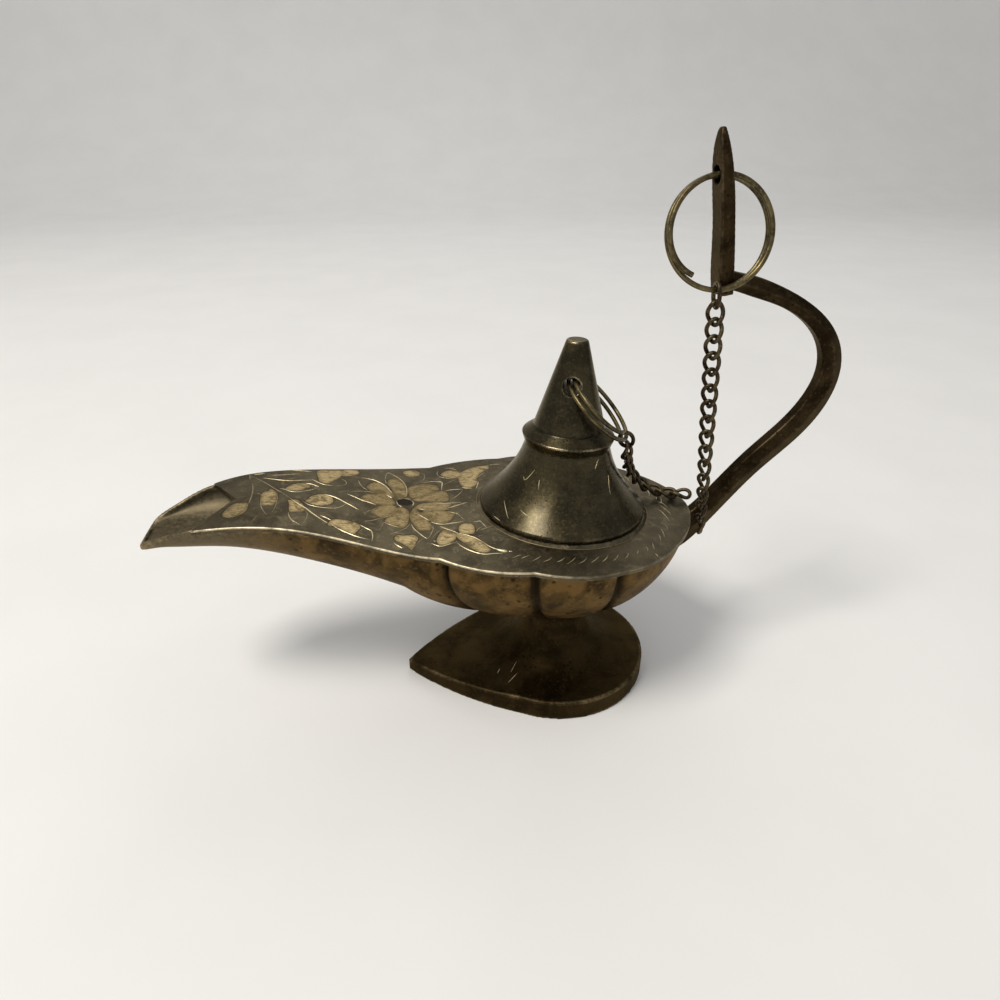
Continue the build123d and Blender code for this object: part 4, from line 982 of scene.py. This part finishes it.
# Lid and finial
domeShape = {"voxel": 0.27, "rounds": 7, "limit": 0.8}
finialShape = {
    "voxel": 0.16, "rounds": 2, "limit": 0.8, "collarLevel": 15.2, "skirtRadius": 9.15, "skirtBase": -0.3,
    "skirtTop": 1.7, "skirtDrop": 0.9,
}
lidLook = {
    "dark": (0.024, 0.0180, 0.0068), "mid": (0.056, 0.044, 0.0185), "light": (0.15, 0.125, 0.068),
    "worn": (0.34, 0.28, 0.18), "grime": (0.006, 0.005, 0.003), "cloud": 6.0, "grain": 0.6, "glint": 0.35,
    "pit": 0.9, "pitShare": 0.7, "rough": (0.24, 0.4), "bump": 0.22, "metal": 0.9, "edges": 0.4, "grimeShare": 0.7,
    "coat": 0.22, "coatRough": 0.24, "tint": (0.85, 0.78, 0.64),
}
# The finial's convex edges are made brighter, partly wear and partly a painted highlight on the collar's bevels; its
# hollows are darker too
finialWearAndHighlightLook = dict(lidLook, edges=0.95, grimeShare=0.95)
lidBronze = agedBrass("lidBronze", lidLook)
finialBronze = agedBrass("finialBronze", finialWearAndHighlightLook)


# The collar's rim hangs a little over the dome's neck
def deepenCollar(piece, look):
    axis = np.array(liftAxis)
    places = pointsOf(piece.data) / mm
    places[:, 2] -= seatHeight
    height = places @ axis
    away = places - height[:, None] * axis
    rise = height - look["collarLevel"]
    rim = (rise > look["skirtBase"]) & (rise < look["skirtTop"])
    rim &= np.linalg.norm(away, axis=1) > look["skirtRadius"]
    drop = np.where(rim, look["skirtDrop"] * (1 - np.clip(rise, 0, None) / look["skirtTop"]), 0)
    places -= drop[:, None] * axis
    places[:, 2] += seatHeight
    movePoints(piece.data, places * mm)


domePiece = makeCasting("lid_dome", "lidDome", "lid", "lid_brass", lidBronze, domeShape)
finialPiece = makeCasting("finial", "finialCone", "lid", "lid_brass", finialBronze, finialShape, deepenCollar)
print("lid made:", len(domePiece.data.polygons) + len(finialPiece.data.polygons), "faces")

# Scratches: thin bright lines on the dome, by (azimuth, height over the seat), and on the foot, by (x, y)
scratchShape = {
    "reach": 40.0, "width": 0.2, "pointShare": 0.25, "step": 0.4, "shine": 0.75, "sides": 6,
    "lid": [
        [(-158.0, 4.5), (-151.1, 3.65), (-143.5, 2.55)],
        [(-153.3, 9.6), (-148.4, 9.25), (-141.5, 11.6)],
        [(-131.8, 10.15), (-129.7, 8.3)],
        [(-138.4, 4.4), (-129.8, 3.85)],
        [(-45.2, 10.0), (-50.1, 8.25), (-52.4, 6.8)],
        [(-58.7, 14.0), (-66.0, 12.25)],
        [(-155.6, 1.85), (-148.0, 1.75)],
    ],
    "lamp": [
        [(-10.8, -8.0), (-11.55, -8.9), (-12.5, -10.35)],
        [(-11.1, -11.0), (-13.65, -13.3)],
        [(-14.85, -8.45), (-15.75, -9.85)],
    ],
}


def scratchTree(look):
    tree, inputs = startTree("scratches", {"Finish": "Material"})
    line = outOf(tree, "GeometryNodeMeshToCurve", {"Mesh": inputs["Geometry"]})
    wire = outOf(tree, "GeometryNodeCurvePrimitiveCircle", {"Resolution": look["sides"], "Radius": 1.0})
    endTree(tree, sweepLine(tree, line, wire), inputs["Finish"])
    return tree


def makeScratches(look, body, surface, finish, maker):
    tree, axis = surfaceTree(surface.data), Vector(liftAxis)
    paths = []
    for stops in look[body]:
        line = smoothLine(stops, look["step"])
        points, widths = [], []
        for k, (first, second) in enumerate(line):
            if body == "lid":
                turn = math.radians(first)
                level = Vector((0, 0, seatHeight * mm)) + axis * second * mm
                out = Vector((math.cos(turn), math.sin(turn), 0))
                points.append(tree.ray_cast(level + out * look["reach"] * mm, -out)[0])
            else:
                points.append(castDown(tree, first * mm, second * mm))
            swell = look["pointShare"] + (1 - look["pointShare"]) * math.sin(math.pi * k / (len(line) - 1))
            widths.append(look["width"] / 2 * mm * swell)
        paths.append((points, widths, look["shine"]))
    piece = growPaths(body + "Scratches", paths, maker, {"Finish": finish})
    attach(piece, body)


scratchMaker = scratchTree(scratchShape)
for body, slot, surface in (("lid", "lid_brass", domePiece), ("lamp", "foot_brass", footPiece)):
    makeScratches(scratchShape, body, surface, cutBrass, scratchMaker)
print("scratches made")

# Handle
handleShape = {"voxel": 0.2, "rounds": 8, "limit": 0.8}
handleLook = {
    "dark": (0.013, 0.0085, 0.004), "mid": (0.042, 0.027, 0.0125), "light": (0.11, 0.08, 0.043),
    "worn": (0.38, 0.30, 0.19), "grime": (0.005, 0.004, 0.003), "cloud": 7.0, "grain": 0.7, "glint": 0.5,
    "pit": 1.2, "pitShare": 0.6, "rough": (0.34, 0.52), "bump": 0.35, "metal": 1.0, "edges": 0.14,
    "grimeShare": 0.8, "tint": (0.82, 0.75, 0.64),
}
handleBronze = agedBrass("handleBronze", handleLook)
handlePiece = makeCasting("handle", "handleCasting", "lamp", "handle_brass", handleBronze, handleShape)
print("handle made:", len(handlePiece.data.polygons), "faces")

# Chain: each link is a bent wire, set on the CAD link's middle and axes
chainShape = {"pitch": 3.4, "play": 0.35, "wire": 0.86, "width": 3.75, "twist": 45.0, "steps": 56, "sides": 10}
chainLook = {
    "dark": (0.032, 0.022, 0.010), "mid": (0.095, 0.068, 0.031), "light": (0.29, 0.225, 0.12),
    "grime": (0.010, 0.007, 0.004), "cloud": 2.6, "grain": 0.35, "glint": 0.7, "pit": 0.7, "pitShare": 0.5,
    "rough": (0.3, 0.5), "bump": 0.3, "metal": 0.85, "verdigris": 0.35, "bloom": (0.10, 0.20, 0.15),
    "bloomSize": 1.5,
}


def linkBlank(name, look, twist):
    half = (look["width"] - look["wire"]) / 2
    reach = (look["pitch"] + look["play"] + look["wire"]) / 2
    line = []
    for k in range(look["steps"]):
        turn = 2 * math.pi * k / look["steps"]
        bend = math.radians(twist) * math.cos(turn)
        out = half * math.sin(turn)
        line.append(Vector((out * math.cos(bend), out * math.sin(bend), reach * math.cos(turn))))
    points, faces = [], []
    count, sides = len(line), look["sides"]
    for k, place in enumerate(line):
        way = (line[(k + 1) % count] - line[k - 1]).normalized()
        out = (place - way * place.dot(way)).normalized()
        over = way.cross(out)
        for j in range(sides):
            turn = 2 * math.pi * j / sides
            points.append((place + (out * math.cos(turn) + over * math.sin(turn)) * (look["wire"] / 2)) * mm)
            here, after, beside = k * sides, (k + 1) % count * sides, (j + 1) % sides
            faces.append((here + j, here + beside, after + beside, after + j))
    blank = meshPiece(name, points, faces)
    shell = bmesh.new()
    shell.from_mesh(blank.data)
    bmesh.ops.recalc_face_normals(shell, faces=shell.faces)
    shell.to_mesh(blank.data)
    shell.free()
    blank.data.shade_smooth()
    return blank


def linkFrame(node):
    mesh = frame["nodes"][node].data
    mesh.calc_loop_triangles()
    places = pointsOf(mesh)
    corners = np.array([t.vertices for t in mesh.loop_triangles])
    first, second, third = (places[corners[:, k]] for k in range(3))
    middles = places[corners].mean(1)
    areas = np.linalg.norm(np.cross(second - first, third - first), axis=1)
    centre = (middles * areas[:, None]).sum(0) / areas.sum()
    away = middles - centre
    spreadOut = np.linalg.eigh((away * areas[:, None]).T @ away)[1]
    long, wide = Vector(spreadOut[:, 2]), Vector(spreadOut[:, 1])
    turn = Matrix((wide, long.cross(wide), long)).transposed()
    return centre, turn.to_euler()


def chainTree():
    tree, inputs = startTree("chainLinks", {"Link": "Object", "Finish": "Material"})
    source = addNode(tree, "GeometryNodeObjectInfo", {"Object": inputs["Link"], "As Instance": True})
    turn = outOf(tree, "GeometryNodeInputNamedAttribute", {"Name": "linkTurn"}, data_type="FLOAT_VECTOR")
    turned = outOf(tree, "FunctionNodeEulerToRotation", {"Euler": turn})
    values = {"Points": inputs["Geometry"], "Instance": source.outputs["Geometry"], "Rotation": turned}
    links = outOf(tree, "GeometryNodeInstanceOnPoints", values)
    endTree(tree, links, inputs["Finish"])
    return tree


def makeChain(name, body, nodes, blank, maker, finish):
    frames = [linkFrame(node) for node in nodes]
    piece = meshPiece(name, [centre for centre, turn in frames], [])
    turns = piece.data.attributes.new("linkTurn", "FLOAT_VECTOR", "POINT")
    turns.data.foreach_set("vector", np.array([tuple(turn) for centre, turn in frames], np.float32).ravel())
    growTree(piece, maker, {"Link": blank, "Finish": finish})
    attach(piece, body)
    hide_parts(*nodes)
    return piece


chainBrass = agedBrass("chainBrass", chainLook)
curbLink = linkBlank("curbLink", chainShape, chainShape["twist"])
plainLink = linkBlank("plainLink", chainShape, 0.0)
chainMaker = chainTree()
for body, nodes in frame["record"]["behaviour"]["bodies"].items():
    for blank, label in ((curbLink, "chain_link"), (plainLink, "ring_link")):
        links = [node for node in nodes if node.startswith(label)]
        if links:
            makeChain(label.replace("_l", "L") + "-" + body, body, links, blank, chainMaker, chainBrass)
for blank in (curbLink, plainLink):
    bpy.data.objects.remove(blank)
print("chain made")

# Rings and fasteners keep their CAD shape
ringLook = {
    "dark": (0.055, 0.042, 0.018), "mid": (0.16, 0.125, 0.055), "light": (0.36, 0.29, 0.15),
    "grime": (0.012, 0.010, 0.006), "cloud": 4.0, "grain": 0.5, "glint": 0.6, "pit": 0.8, "pitShare": 0.5,
    "rough": (0.28, 0.48), "bump": 0.25, "metal": 0.85,
}
fastenerLook = {
    "dark": (0.07, 0.05, 0.025), "mid": (0.20, 0.15, 0.07), "light": (0.38, 0.30, 0.16),
    "grime": (0.015, 0.012, 0.008), "cloud": 3.0, "grain": 0.5, "glint": 0.5, "pit": 0.9, "pitShare": 0.5,
    "rough": (0.3, 0.5), "bump": 0.25, "metal": 0.85,
}
washerLook = {
    "dark": (0.030, 0.018, 0.010), "mid": (0.075, 0.045, 0.024), "light": (0.13, 0.085, 0.05),
    "grime": (0.012, 0.008, 0.005), "cloud": 2.0, "grain": 0.4, "glint": 0.4, "pit": 0.6, "pitShare": 0.5,
    "rough": (0.6, 0.8), "bump": 0.5, "metal": 0.0,
}
ringBrass = agedBrass("ringBrass", ringLook)
fastenerBrass = agedBrass("fastenerBrass", fastenerLook)
washerLeather = agedBrass("washerLeather", washerLook)
for node in ("lid_ring", "handle_ring"):
    paintNode(node, ringBrass)
for node in ("foot_bolt", "foot_nut", "finial_nut", "handle_screw"):
    paintNode(node, fastenerBrass)
paintNode("foot_washer", washerLeather)
print("rings and fasteners painted")
